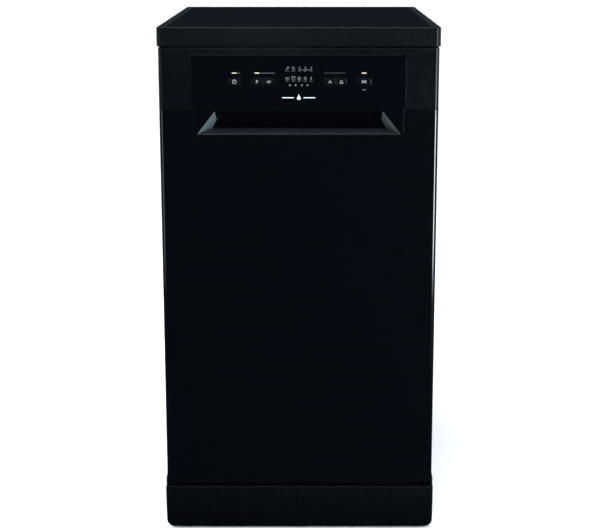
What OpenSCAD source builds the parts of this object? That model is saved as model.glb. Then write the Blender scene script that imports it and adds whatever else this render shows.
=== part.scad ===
// Freestanding slimline dishwasher, 450 mm wide, with its own worktop and plinth.
// Origin: middle of the footprint, on the floor. +X is to the right, the door faces -Y, +Z is up.
// Shapes are drawn in a working frame whose y = 0 is the front plane of the appliance,
// and placed() moves them back by half the depth.

/* [Overall size] */
// Width over the worktop
width = 450; // [430:1:600]
// Depth from the front plane to the back of the worktop
depth = 590; // [560:1:720]
// Height from the floor to the top of the worktop
height = 850; // [820:1:1030]

/* [Worktop] */
// Thickness of the worktop
worktop_t = 30; // [26:1:40]
// Width of the moulded rim around the board
rim_w = 14; // [10:1:20]
// Radius of the worktop's front corners
worktop_r = 8; // [4:1:14]
// Thickness of the board set into the rim
board_t = 16; // [10:1:20]
// How far the board lies below the rim
board_drop = 0.6; // [0.2:0.1:2]

/* [Cabinet] */
// Thickness of the steel side and rear panels
sheet = 0.8; // [0.6:0.1:1.2]
// How far the side panels stand in from the worktop's edge
side_inset = 2; // [1:0.5:4]
// Thickness of the base tray's walls
base_wall = 3; // [2.5:0.5:4]
// Space between the worktop's edge and the inside of the tub, at each side
side_space = 31; // [30:1:40]
// Space between the underside of the worktop and the tub's ceiling
roof_space = 24; // [20:1:40]
// Space between the tub's back wall and the back of the worktop
rear_space = 42; // [40:1:60]
// Radius of the tub's upper corners
tub_r = 24; // [10:1:40]
// Thickness of the stainless steel tub
tub_t = 1; // [0.6:0.1:1.4]

/* [Door] */
// Height of the door's hinge axis
hinge_z = 100; // [98:1:106]
// Distance of the hinge axis behind the front plane
hinge_f = 10; // [10:0.5:11]
// Radius of the hinge pins
hinge_pin_r = 4; // [3:0.5:4.5]
// Height of the control panel
fascia_h = 97.5; // [92:0.5:110]
// Thickness of the door's outer steel sheet
door_sheet = 1; // [0.7:0.1:1.2]
// Radius of the door's vertical front edges
edge_r = 6; // [3:0.5:9]
// Depth of the wheel tracks pressed into the inside of the door
track_h = 4; // [3:0.5:5]

/* [Controls] */
// Half width of the glossy insert in the control panel
insert_half = 169.8; // [165:0.1:172]
// Height of the push buttons
button_h = 11.5; // [10:0.5:13]
// Gap around each button
button_gap = 0.15; // [0.1:0.05:0.3]
// How far a button travels
button_travel = 1; // [0.6:0.1:1.4]
// Depth of the finger hollow behind the handle lip
pocket_d = 38; // [32:1:39]

/* [Wash system] */
// Radius of the post that the lower spray arm turns on
post_r = 9; // [7:0.5:10]
// Radial clearance of everything that turns on a shaft
run_gap = 0.06; // [0.04:0.01:0.08]
// Clearance between the lower spray arm's tips and the tub's walls
arm_clear = 29; // [20:1:40]
// Radius of the sump's opening in the tub floor
sump_r = 100; // [95:1:104]
// Radius of the removable filter
filter_r = 33; // [28:1:36]
// Outside radius of the water inlet's thread
inlet_r = 13.22; // [13.22:0.01:13.22]
// Outside radius of the drain outlet
drain_r = 9.5; // [8.5:0.5:11]

/* [Racks] */
// Height of the lower rack's walls
lower_rack_h = 154; // [120:1:170]
// Height of the upper rack's walls
upper_rack_h = 131; // [115:1:140]
// Drop from the tub's ceiling to the upper rack's floor
upper_drop = 251; // [240:1:258]
// Radius of the lower rack's wheels
wheel_r = 16; // [12:0.5:18]
// Thickness of the racks' coated wires
wire = 4; // [3:0.5:5]

/* [Feet] */
// Radius of a foot's pad
foot_r = 18; // [14:1:22]
// Radius of a foot's threaded stem
stem_r = 5; // [4:0.5:6]

/* [Hidden] */
$fn = 64;
touch = 0.05;    // gap between welded parts of one node, so that each stays a solid of its own
cut = 1;         // how far a cutting shape runs past a face
small = 0.2;     // clearance between fitted parts that don't turn

// Cabinet
cab_half = width / 2 - side_inset;
top_z = height - worktop_t;
base_top = hinge_z - 4;
base_front = 34;
base_back = depth - 27;
base_floor_z = 12;
side_front = 31;
side_back = depth - 4;
rear_panel_z = 200;
frame_front = side_front + sheet;
frame_back = 61;
frame_half = cab_half - 1;
frame_bottom = hinge_z + 14;

// Door
door_half = width / 2 - 2.5;
door_bottom = hinge_z - 10;
door_top = top_z - 2;
door_face = hinge_f - 8.4;
door_back = door_face + 26.4;
seam = 1;
fascia_z = door_top - fascia_h;
tray_wide = width / 2 - 22;
tray_back = hinge_f + 42;
tray_z = hinge_z + 4;
tray_top = top_z - 14;
cavity_half = tray_wide + 3.2;
cavity_top = top_z - 5.5;

// Tub
tub_half = width / 2 - side_space;
tub_top = top_z - roof_space;
tub_back = depth - rear_space;
ledge_z = tray_back - hinge_f + hinge_z + track_h;
ledge_w = 24;
floor_z = ledge_z - 11;
mid_f = (frame_back + tub_back) / 2;

// Wash system
sump_x = 20;
sump_f = mid_f - 15;
filter_x = sump_x + 42;
filter_f = sump_f - 42;
salt_x = -(tub_half - 66);
salt_f = mid_f - 100;
salt_r = 22;
arm_r = min(tub_half - arm_clear, mid_f - frame_back - 60, tub_back - mid_f - 78);
arm_z = floor_z + 15.5;
arm_t = 12;
pump_x = 110;
pump_z = 78;
pump_f = sump_f + 117;
drain_x = -70;
drain_z = 62;
inlet_x = -185;
inlet_z = 74;
gland_x = 150;
gland_z = 60;
hose_back = depth - 2;

// Racks
rack_front = 68;
rack_back = tub_back - 26;
rack_half = tub_half - 12;
rack_z = floor_z + 37;
rack_d = rack_back - rack_front;
upper_z = tub_top - upper_drop;
upper_half = tub_half - 18;
upper_front = rack_front + 2;
upper_back = rack_back - 2;
rail_z = upper_z + 55;
rail_h = 20;
rail_out = tub_half - 4.5;
axle_z = ledge_z + wheel_r + 0.3;
axle_r = 3;
axle_front_f = rack_front + 77;
axle_back_f = rack_back - 122;
feed_z = upper_z - 15;
shelf_z = upper_z + 95;
basket_x = rack_half - 90;
basket_w = 80;

// Controls: middle and width of each button, from left to right
button_z = fascia_z + 44.3;
power_at = [-102, 22];
program_at = [-66, 17];
option_at = [-47.5, 18];
delay_at = [49.5, 18];
half_load_at = [67.5, 16];
start_at = [103.5, 22];
all_buttons = [power_at, program_at, option_at, delay_at, half_load_at, start_at];
lit_x = [power_at[0], program_at[0], start_at[0]];
light_z = button_z + 13.7;
dot_x = [-14, -5, 5, 14];
dot_z = button_z - 5.5;
insert_f = hinge_f - 9.4;
insert_t = 3;
insert_top = fascia_z + 86.4;
tongue_half = insert_half - 2.8;
tongue_z = fascia_z - 42.5;
board_f = 14;

// Detergent dispenser
disp_z = 450;
lid_x = -30;
lid_axis_f = tray_back + 6;
lid_axis_z = disp_z - 41;
cap_x = 42;

// ---- Shared shapes ----

// Moves a shape from the working frame to the appliance's own frame
module placed() {
    translate([0, -depth / 2, 0]) children();
}

// Box between its lowest and highest corners
module block(low, high) {
    translate(low) cube(high - low);
}

// A shape and its mirror image across the middle of the appliance
module both_sides() {
    children();
    mirror([1, 0, 0]) children();
}

// Round bars along X, Y and Z
module bar_x(x0, x1, f, z, r) {
    translate([x0, f, z]) rotate([0, 90, 0]) cylinder(r = r, h = x1 - x0);
}

module bar_y(f0, f1, x, z, r) {
    translate([x, f0, z]) rotate([-90, 0, 0]) cylinder(r = r, h = f1 - f0);
}

module bar_z(z0, z1, x, f, r) {
    translate([x, f, z0]) cylinder(r = r, h = z1 - z0);
}

// An outline drawn in X and Z, pushed out from f0 to f1
module slab_y(f0, f1) {
    translate([0, f1, 0]) rotate([90, 0, 0]) linear_extrude(f1 - f0) children();
}

// An outline drawn in Y and Z, pushed out from x0 to x1
module slab_x(x0, x1) {
    translate([x0, 0, 0]) rotate([90, 0, 90]) linear_extrude(x1 - x0) children();
}

// Outline seen from above with its two front corners rounded
module round_front(half, front, back, r) {
    translate([-half, front + r]) square([2 * half, back - front - r]);
    translate([-half + r, front]) square([2 * (half - r), 2 * r]);
    for (side = [-1, 1]) translate([side * (half - r), front + r]) circle(r);
}

// Outline seen from the front with its two upper corners rounded
module round_top(half, bottom, top, r) {
    translate([-half, bottom]) square([2 * half, top - bottom - r]);
    translate([-half + r, top - 2 * r]) square([2 * (half - r), 2 * r]);
    for (side = [-1, 1]) translate([side * (half - r), top - r]) circle(r);
}

// The same outline upside down: its two lower corners are rounded
module round_bottom(half, bottom, top, r) {
    translate([-half, bottom + r]) square([2 * half, top - bottom - r]);
    translate([-half + r, bottom]) square([2 * (half - r), 2 * r]);
    for (side = [-1, 1]) translate([side * (half - r), bottom + r]) circle(r);
}

// Flat grille of wires in the XY plane, with its corner at the origin
module grille(w, h, t, pitch) {
    nx = floor((w - wire) / pitch);
    ny = floor((h - wire) / pitch);
    step_x = (w - wire) / nx;
    step_y = (h - wire) / ny;
    difference() {
        cube([w, h, t]);
        for (i = [0 : nx - 1], j = [0 : ny - 1])
            translate([wire + i * step_x, wire + j * step_y, -cut])
                cube([step_x - wire, step_y - wire, t + 2 * cut]);
    }
}

// Grilles standing up, facing along X and along Y
module grille_x(x, f0, f1, z0, z1, pitch) {
    translate([x, f0, z0]) rotate([90, 0, 90]) grille(f1 - f0, z1 - z0, wire, pitch);
}

module grille_y(f, x0, x1, z0, z1, pitch) {
    translate([x0, f + wire, z0]) rotate([90, 0, 0]) grille(x1 - x0, z1 - z0, wire, pitch);
}

// ---- Worktop ----

ledge_in = 8;    // width of the rim's inner ledge under the board
board_z = height - board_drop - board_t;

module worktop_board() color("#1b1c20") placed()
    translate([0, 0, board_z]) linear_extrude(board_t)
        round_front(width / 2 - 0.5 - rim_w - small, rim_w + small, depth - rim_w - small, 2);

module worktop_frame() color("#141519") placed() difference() {
    translate([0, 0, top_z]) linear_extrude(worktop_t)
        round_front(width / 2 - 0.5, 0, depth, worktop_r);
    block([-width / 2 + 0.5 + rim_w, rim_w, board_z],
        [width / 2 - 0.5 - rim_w, depth - rim_w, height + cut]);
    block([-width / 2 + rim_w + ledge_in, rim_w + ledge_in, top_z - cut],
        [width / 2 - rim_w - ledge_in, depth - rim_w - ledge_in, board_z + cut]);
}

// ---- Cabinet ----

return_w = 10;   // width of the side panels' folded edges

module side_panel() {
    block([cab_half - sheet, side_front, base_top], [cab_half, side_back, top_z]);
    block([cab_half - return_w, side_front, base_top], [cab_half, side_front + sheet, top_z]);
    block([cab_half - return_w, side_back - sheet, base_top], [cab_half, side_back, top_z]);
}

module side_panel_left() color("#15161a") placed() mirror([1, 0, 0]) side_panel();

module side_panel_right() color("#15161a") placed() side_panel();

module rear_panel() color("#9fa3a6") placed() {
    block([-cab_half + 1, side_back, rear_panel_z], [cab_half - 1, side_back + sheet, top_z]);
    for (k = [1 : 3])
        block([-cab_half + 60, side_back + sheet, rear_panel_z + k * (top_z - rear_panel_z) / 4],
            [cab_half - 60, side_back + 2 * sheet + 1, rear_panel_z + 14 + k * (top_z - rear_panel_z) / 4]);
}

foot_x = cab_half - 33;
foot_front_f = 75;
foot_back_f = base_back - 63;
boss_r = 9;
pillar_in = tray_wide - 11;
pillar_out = tray_wide - 0.5;
spring_x = tray_wide + 1.5;
spring_end = 296;

module base_tray() color("#2a2c30") placed() difference() {
    union() {
        difference() {
            block([-cab_half, base_front, base_floor_z], [cab_half, base_back, base_top]);
            block([-cab_half + base_wall, base_front + base_wall, base_floor_z + base_wall],
                [cab_half - base_wall, base_back - base_wall, base_top + cut]);
        }
        both_sides() {
            block([cab_half - cut, base_front, 20], [width / 2, base_back, base_top - 12]);
            block([pillar_in, base_front + base_wall, base_floor_z],
                [pillar_out, base_front + 91, hinge_z - 7]);
            block([spring_x - 2.5, spring_end, base_floor_z],
                [spring_x + 2.5, spring_end + 6, hinge_z + 6]);
            for (f = [foot_front_f, foot_back_f]) bar_z(base_floor_z, 54, foot_x, f, boss_r);
        }
    }
    both_sides() {
        for (f = [foot_front_f, foot_back_f]) bar_z(base_floor_z - cut, 56, foot_x, f, stem_r + 0.05);
        block([pillar_in + 3, base_front - cut, hinge_z - 12],
            [tray_wide + 9, base_front + base_wall, base_top + cut]);
    }
    bar_y(base_back - base_wall - cut, base_back + cut, inlet_x, inlet_z, 15);
    bar_y(base_back - base_wall - cut, base_back + cut, drain_x, drain_z, drain_r + 2.5);
    bar_y(base_back - base_wall - cut, base_back + cut, gland_x, gland_z, 9 + small);
}

// The plinth: its face leans back towards the floor, and its lower corners are rounded
kick_top = door_bottom - 8;

module kick_outline(grow) {
    polygon([[3 + grow, kick_top], [3 + grow, kick_top - 22], [8 + grow, 25], [17 + grow, 4],
        [base_front, 4], [base_front, kick_top]]);
}

module kick_plate() color("#121316") placed() {
    intersection() {
        union() {
            difference() {
                slab_x(-width / 2, width / 2) kick_outline(0);
                translate([0, 0, -3]) slab_x(-width / 2 + 3, width / 2 - 3) kick_outline(3);
                block([-width / 2 + 3, base_front - 4, 0], [width / 2 - 3, base_front + cut, kick_top - 3]);
            }
            both_sides() block([cab_half + small, 12, 20], [width / 2, base_front, base_top]);
        }
        slab_y(0, base_front) round_bottom(width / 2, 4, base_top, 14);
    }
}

module counterweight() color("#7d7a74") placed()
    block([-175, depth - 190, base_floor_z + base_wall], [pump_x - 60, depth - 40, base_floor_z + 17]);

module front_frame() color("#2f3136") placed() difference() {
    block([-frame_half, frame_front, frame_bottom], [frame_half, frame_back, top_z - 1]);
    block([-cavity_half, frame_front - cut, frame_bottom - cut], [cavity_half, frame_back - 1, cavity_top]);
    block([-tub_half, frame_front - cut, ledge_z], [tub_half, frame_back + cut, tub_top]);
    both_sides() block([cavity_half + 1, frame_front + 1, frame_bottom - cut],
        [frame_half - 1, frame_back + cut, cavity_top - 1]);
}

module tub_shell() color("#c9ccce") placed() {
    difference() {
        slab_y(frame_back, tub_back + tub_t)
            round_top(tub_half + tub_t, ledge_z, tub_top + tub_t, tub_r + tub_t);
        slab_y(frame_back - cut, tub_back) round_top(tub_half, ledge_z - cut, tub_top, tub_r);
    }
    block([-tub_half + ledge_w - tub_t, tub_back, floor_z - tub_t],
        [tub_half - ledge_w + tub_t, tub_back + tub_t, ledge_z + cut]);
}

module tub_floor() color("#c3c6c8") placed() difference() {
    union() {
        both_sides() {
            block([tub_half - ledge_w, frame_back, ledge_z - tub_t], [tub_half + tub_t, tub_back, ledge_z]);
            block([tub_half - ledge_w, frame_back, floor_z - tub_t],
                [tub_half - ledge_w + tub_t, tub_back, ledge_z]);
        }
        block([-tub_half + ledge_w, frame_back, floor_z - tub_t], [tub_half - ledge_w, tub_back, floor_z]);
        block([-tub_half + ledge_w, frame_back, floor_z - tub_t],
            [tub_half - ledge_w, frame_back + tub_t, ledge_z]);
    }
    bar_z(floor_z - 3, floor_z + cut, sump_x, sump_f, sump_r);
    bar_z(floor_z - 3, floor_z + cut, salt_x, salt_f, salt_r + 7.5);
}

gasket_in = tub_half + 2;
gasket_out = cavity_half - 3.2;

module door_gasket() color("#1d1d1f") placed() slab_y(tray_back + 0.3, frame_back - 1) difference() {
    round_top(gasket_out, frame_bottom, tub_top + 8, 6);
    round_top(gasket_in, frame_bottom - cut, tub_top + 1, 4);
}

module latch_strike() color("#b9bcbf") placed() {
    block([-6, 38, tray_top - 11], [6, 40, cavity_top]);
    block([-6, 44, tray_top - 11], [6, 46, cavity_top]);
    block([-6, 38, tray_top - 11], [6, 46, tray_top - 9]);
}

module hinge_brackets() color("#8f9396") placed() both_sides() {
    slab_x(pillar_out - 3, pillar_out) {
        translate([hinge_f, hinge_z]) circle(7);
        translate([hinge_f, hinge_z - 7]) square([base_front + 86 - hinge_f, 9]);
    }
    bar_x(pillar_out - 1, pillar_out + 4, hinge_f, hinge_z, hinge_pin_r);
}

// Each spring runs from the tail of a hinge arm to a lug on the base tray
tail_f = hinge_f + 30;

module door_springs() color("#6e7274") placed() both_sides() {
    bar_y(tail_f, spring_end, spring_x, hinge_z, 1.5);
    bar_y(tail_f + 92, spring_end - 8, spring_x, hinge_z, 6.5);
}

module mains_gland() color("#1c1d1f") placed() difference() {
    union() {
        bar_y(base_back - 18, base_back, gland_x, gland_z, 9);
        bar_y(base_back, base_back + 3, gland_x, gland_z, 13);
        bar_y(base_back + 3, base_back + 17, gland_x, gland_z, 7);
    }
    bar_y(base_back - 8, base_back + 18, gland_x, gland_z, 4);
}

module cabinet_screws() color("#a9acae") placed() both_sides()
    for (z = [rear_panel_z + 20, (rear_panel_z + top_z) / 2, top_z - 20])
        bar_y(side_back + sheet, side_back + sheet + 1.8, cab_half - 9, z, 4);

// ---- Feet ----

module foot(x, f) placed() {
    bar_z(0, 8, x, f, foot_r);
    bar_z(8, 50, x, f, stem_r);
}

module foot_front_left() color("#26272a") foot(-foot_x, foot_front_f);

module foot_front_right() color("#26272a") foot(foot_x, foot_front_f);

module foot_rear_left() color("#26272a") foot(-foot_x, foot_back_f);

module foot_rear_right() color("#26272a") foot(foot_x, foot_back_f);

// ---- Wash system under and in the tub ----

bowl_wall = 3;
bowl_z = floor_z - 75;

module sump() color("#3a3d42") placed() difference() {
    union() {
        bar_z(bowl_z, floor_z - tub_t, sump_x, sump_f, sump_r - 1);
        bar_z(floor_z - tub_t - 3, floor_z - tub_t, sump_x, sump_f, sump_r + 8);
        bar_y(sump_f, pump_f, pump_x, pump_z, 14);
        bar_y(sump_f, base_back - 93, drain_x, bowl_z + 12, 8);
        bar_z(bowl_z, floor_z + 35, 0, mid_f, post_r);
    }
    difference() {
        bar_z(bowl_z + 2, floor_z + cut, sump_x, sump_f, sump_r - 1 - bowl_wall);
        bar_z(bowl_z, floor_z + 35, 0, mid_f, post_r);
    }
    bar_z(bowl_z + 20, floor_z + 36, 0, mid_f, post_r - 3);
}

module filter_plate() color("#b4b7ba") placed() difference() {
    bar_z(floor_z, floor_z + 1.2, sump_x, sump_f, sump_r + 3);
    bar_z(floor_z - cut, floor_z + 2, 0, mid_f, post_r + 1);
    bar_z(floor_z - cut, floor_z + 2, filter_x, filter_f, filter_r + run_gap);
    for (ring = [0 : 2], k = [0 : 3 + ring])
        rotate_about(sump_x, sump_f, 140 + k * 22 - ring * 10)
            bar_z(floor_z - cut, floor_z + 2, sump_x + 48 + ring * 18, sump_f, 5);
}

// Turns a shape about a vertical line through (x, f)
module rotate_about(x, f, angle) {
    translate([x, f, 0]) rotate([0, 0, angle]) translate([-x, -f, 0]) children();
}

filter_wall = 1.5;

module filter_cylinder() color("#5c6066") placed() {
    difference() {
        bar_z(floor_z - 55, floor_z + 9, filter_x, filter_f, filter_r);
        bar_z(floor_z - 55 + filter_wall, floor_z + 10, filter_x, filter_f, filter_r - filter_wall);
    }
    block([filter_x - filter_r + 1, filter_f - 2, floor_z + 3],
        [filter_x + filter_r - 1, filter_f + 2, floor_z + 12]);
}

module softener_tank() color("#d9d6cc") placed() difference() {
    union() {
        block([-tub_half + 4, salt_f - 60, 33], [salt_x + 30, salt_f + 130, floor_z - 17]);
        bar_z(floor_z - 18, floor_z + 0.8, salt_x, salt_f, salt_r + 7);
    }
    bar_z(floor_z - 37, floor_z + cut, salt_x, salt_f, salt_r + run_gap);
}

module salt_cap() color("#3b3f45") placed() {
    bar_z(floor_z + 1, floor_z + 9, salt_x, salt_f, salt_r + 6);
    bar_z(floor_z - 20, floor_z + 1, salt_x, salt_f, salt_r);
    rotate_about(salt_x, salt_f, 45) block([salt_x - salt_r, salt_f - 2.5, floor_z + 9],
        [salt_x + salt_r, salt_f + 2.5, floor_z + 12]);
}

duct_half = 20;

module spray_duct() color("#4a4e54") placed() {
    block([-duct_half, tub_back - 18, floor_z], [duct_half, tub_back, feed_z + 30]);
    block([-duct_half, sump_f + sump_r + 8, floor_z], [duct_half, tub_back - 18, floor_z + 11]);
}

volute_r = 42;
shaft_r = 4;

module wash_pump() color("#33363b") placed() difference() {
    union() {
        bar_y(pump_f, pump_f + 40, pump_x, pump_z, volute_r);
        bar_y(pump_f + 40, pump_f + 128, pump_x, pump_z, volute_r - 4);
    }
    bar_y(pump_f + 3, pump_f + 37, pump_x, pump_z, volute_r - 4);
    bar_y(pump_f - cut, pump_f + 4, pump_x, pump_z, 11);
    bar_y(pump_f + 36, pump_f + 100, pump_x, pump_z, shaft_r + run_gap);
}

module pump_impeller() color("#c8c4b8") placed() {
    bar_y(pump_f + 8, pump_f + 12, pump_x, pump_z, volute_r - 8);
    for (k = [0 : 5]) translate([pump_x, pump_f + 12, pump_z]) rotate([0, k * 60, 0])
        block([shaft_r + 3, 0, -1.5], [volute_r - 10, 14, 1.5]);
    bar_y(pump_f + 12, pump_f + 98, pump_x, pump_z, shaft_r);
    bar_y(pump_f + 8, pump_f + 30, pump_x, pump_z, shaft_r + 4);
}

module drain_pump() color("#2d3034") placed() {
    bar_y(base_back - 93, base_back - 33, drain_x, drain_z, 26);
    bar_y(base_back - 33, hose_back - 20, drain_x, drain_z, drain_r - 1);
    bar_y(hose_back - 20, hose_back, drain_x, drain_z, drain_r);
}

module inlet_valve() color("#e6e4dc") placed() {
    block([inlet_x - 20, base_back - 43, inlet_z - 22], [inlet_x + 20, base_back - base_wall, inlet_z + 22]);
    bar_y(base_back - base_wall, hose_back - 16, inlet_x, inlet_z, 11);
    bar_y(hose_back - 16, hose_back, inlet_x, inlet_z, inlet_r);
}

module air_break_tank() color("#e3e6e4") placed()
    block([-cab_half + 2, 150, rear_panel_z], [-tub_half - 3, 450, 600]);

// ---- Door ----

module door_outline(inset) {
    round_front(door_half - inset, door_face + inset, door_back, edge_r - min(inset, edge_r - 1));
}

module door_skin(z0, z1, t) difference() {
    translate([0, 0, z0]) linear_extrude(z1 - z0) door_outline(0);
    translate([0, cut, z0 - cut]) linear_extrude(z1 - z0 + 2 * cut) door_outline(t);
    translate([0, 0, z0 - cut]) linear_extrude(z1 - z0 + 2 * cut) door_outline(t);
}

notch_gap = 0.5;

module door_outer_panel() color("#101116") placed() difference() {
    union() {
        door_skin(door_bottom, fascia_z - seam, door_sheet);
        block([-door_half + 4, door_face + door_sheet, door_bottom],
            [door_half - 4, door_back - 6, door_bottom + door_sheet]);
    }
    both_sides() block([tray_wide - 7, door_face + door_sheet, door_bottom - cut],
        [tray_wide + 7, door_back, door_bottom + 2]);
    translate([0, -cut, 0]) slab_y(0, door_face + 4)
        round_bottom(tongue_half + notch_gap, tongue_z - notch_gap, fascia_z + cut, 8);
}

module control_panel() color("#16181f") placed() difference() {
    union() {
        door_skin(fascia_z, door_top, 2.5);
        translate([0, 0, door_top - 2.5]) linear_extrude(2.5) door_outline(0);
    }
    translate([0, -cut, 0]) slab_y(0, door_face + 5)
        round_top(insert_half + small, fascia_z - cut, insert_top + small, 8);
}

// The hollow under the control panel that a hand reaches into to pull the door open
module handle_hollow() {
    hull() {
        slab_y(insert_f - cut, insert_f) polygon([[-163, tongue_z + 2.5], [163, tongue_z + 2.5],
            [134, fascia_z - 2.5], [-134, fascia_z - 2.5]]);
        slab_y(pocket_d - 1, pocket_d) polygon([[-141, tongue_z + 6.5], [141, tongue_z + 6.5],
            [133, tongue_z + 22], [-133, tongue_z + 22]]);
    }
    block([-130, insert_f + insert_t, tongue_z + 20], [130, pocket_d, fascia_z + 24]);
}

module control_insert() color("#07080b") placed() difference() {
    union() {
        slab_y(insert_f, insert_f + insert_t)
            round_top(insert_half, fascia_z, insert_top, 8);
        slab_y(insert_f, insert_f + insert_t)
            round_bottom(tongue_half, tongue_z, fascia_z + cut, 8);
        block([-166, insert_f + insert_t - cut, tongue_z + 1], [166, pocket_d + 4, fascia_z + 28]);
    }
    handle_hollow();
    for (b = all_buttons)
        block([b[0] - b[1] / 2 - button_gap, 0, button_z - button_h / 2 - button_gap],
            [b[0] + b[1] / 2 + button_gap, insert_f + insert_t + cut, button_z + button_h / 2 + button_gap]);
    for (x = lit_x)
        block([x - 3.5, 0, light_z - 0.7], [x + 3.5, insert_f + insert_t + cut, light_z + 0.7]);
    for (x = dot_x) bar_y(0, insert_f + insert_t + cut, x, dot_z, 1.2);
}

module indicator_lenses() color("#fff3d8") placed() {
    for (x = lit_x)
        block([x - 3.5, insert_f - 0.1, light_z - 0.7], [x + 3.5, board_f - 0.1, light_z + 0.7]);
    for (x = dot_x) bar_y(insert_f - 0.1, board_f - 0.1, x, dot_z, 1.2);
}

module button(at) color("#0b0c10") placed() {
    block([at[0] - at[1] / 2, insert_f - 0.4, button_z - button_h / 2],
        [at[0] + at[1] / 2, board_f - 5, button_z + button_h / 2]);
    block([at[0] - at[1] / 2, insert_f + insert_t + 0.2, button_z - button_h / 2 - 1.3],
        [at[0] + at[1] / 2, insert_f + insert_t + 2, button_z + button_h / 2 + 1.3]);
}

module power_button() button(power_at);

module program_button() button(program_at);

module option_button() button(option_at);

module delay_button() button(delay_at);

module half_load_button() button(half_load_at);

module start_button() button(start_at);

module control_board() color("#1f5a3a") placed() {
    block([-125, board_f, fascia_z + 31.5], [125, board_f + 1.6, fascia_z + 79.5]);
    for (b = all_buttons)
        block([b[0] - 4, board_f - 5 + button_travel + 0.3, button_z - 4], [b[0] + 4, board_f, button_z + 4]);
}

slot_half = 9;

module door_inner_panel() color("#c7cacc") placed() difference() {
    union() {
        difference() {
            block([-tray_wide, door_back, tray_z], [tray_wide, tray_back, tray_top]);
            block([-tray_wide + 1, door_back - cut, tray_z + 1],
                [tray_wide - 1, tray_back - 1, tray_top - 1]);
        }
        difference() {
            block([-door_half + 0.5, door_back, tray_z], [door_half - 0.5, door_back + 1, door_top]);
            block([-tray_wide + 0.5, door_back - cut, tray_z - cut],
                [tray_wide - 0.5, door_back + 2, tray_top - 0.5]);
            both_sides() block([tray_wide, door_back - cut, tray_z - cut],
                [tray_wide + 3, door_back + 2, hinge_z + 162]);
        }
        both_sides() block([tub_half - 16, tray_back, frame_bottom - 2],
            [tub_half, tray_back + track_h, 300]);
    }
    block([-73, tray_back - 2, disp_z - 50], [73, tray_back + cut, disp_z + 50]);
    block([-slot_half, door_back + 2, tray_top - 14], [slot_half, tray_back + cut, tray_top + cut]);
}

module hinge_arms() color("#8f9396") placed() both_sides() difference() {
    slab_x(tray_wide, tray_wide + 2.7) {
        translate([hinge_f, hinge_z]) circle(7.2);
        translate([hinge_f, hinge_z - 6]) square([tail_f - hinge_f, 12]);
        translate([hinge_f + 4, hinge_z]) square([tail_f - hinge_f - 4, 20]);
        translate([hinge_f + 4, hinge_z + 10]) square([tray_back - hinge_f - 8, 150]);
    }
    bar_x(tray_wide - cut, tray_wide + 4, hinge_f, hinge_z, hinge_pin_r + run_gap);
}

module door_latch() color("#26282c") placed() difference() {
    block([-22, 33, tray_top - 30], [22, tray_back - 1, tray_top - 1]);
    block([-8, 34, tray_top - 14], [8, tray_back, tray_top]);
}

module dispenser_body() color("#b9bdc2") placed() difference() {
    union() {
        block([-75, tray_back, disp_z - 52], [75, tray_back + 3, disp_z + 52]);
        block([-72, tray_back - 19, disp_z - 49], [72, tray_back, disp_z + 49]);
        for (x = [lid_x - 36, lid_x + 31])
            block([x, tray_back + 2, lid_axis_z - 2.5], [x + 5, tray_back + 8.5, lid_axis_z + 2.5]);
        bar_x(lid_x - 33, lid_x + 33, lid_axis_f, lid_axis_z, 1.2);
    }
    block([lid_x - 36, tray_back - 16, disp_z - 35], [lid_x + 36, tray_back + 4, disp_z + 35]);
    bar_y(tray_back - 12, tray_back + 4, cap_x, disp_z, 12 + run_gap);
}

module dispenser_lid() color("#9ba0a6") placed() difference() {
    union() {
        block([lid_x - 39, tray_back + 3.2, disp_z - 37], [lid_x + 39, tray_back + 6.2, disp_z + 37]);
        block([lid_x - 30, tray_back + 3.6, lid_axis_z], [lid_x + 30, tray_back + 6.2, disp_z - 36]);
        bar_x(lid_x - 30.5, lid_x + 30.5, lid_axis_f, lid_axis_z, 2.4);
    }
    bar_x(lid_x - 40, lid_x + 40, lid_axis_f, lid_axis_z, 1.2 + run_gap);
}

module rinse_aid_cap() color("#31353b") placed() {
    bar_y(tray_back + 3.2, tray_back + 8, cap_x, disp_z, 20);
    bar_y(tray_back - 7, tray_back + 3.2, cap_x, disp_z, 12);
    block([cap_x - 16, tray_back + 8, disp_z - 2], [cap_x + 16, tray_back + 12, disp_z + 2]);
}

module door_screws() color("#a9acae") placed() both_sides()
    for (z = [340, 460, 580, 700, top_z - 50])
        bar_y(tray_back, tray_back + 1.8, tray_wide - 14, z, 3.5);

// ---- Spray arms ----

module spray_arm(z0, radius) difference() {
    union() {
        bar_z(z0 - 1.5, z0 + arm_t + 5.5, 0, mid_f, post_r + 11);
        hull() {
            for (side = [-1, 1]) {
                translate([side * (radius - 12), mid_f, z0 + 1]) cylinder(r = 12, h = arm_t - 3, $fn = 32);
                translate([side * 24, mid_f, z0]) cylinder(r = 20, h = arm_t, $fn = 32);
            }
        }
    }
    bar_z(z0 - 3, z0 + arm_t + 7, 0, mid_f, post_r + run_gap);
}

module lower_wash_arm() color("#85898f") placed() spray_arm(arm_z, arm_r);

module upper_wash_arm() color("#85898f") placed() spray_arm(feed_z - 18 - touch, arm_r);

// ---- Racks ----

tine_h = 74;
tine_rows = [-110, -20];
tines = floor((rack_d - 60) / 30);
wheel_x = rack_half + 2.3;
wheel_w = 7;

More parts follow.
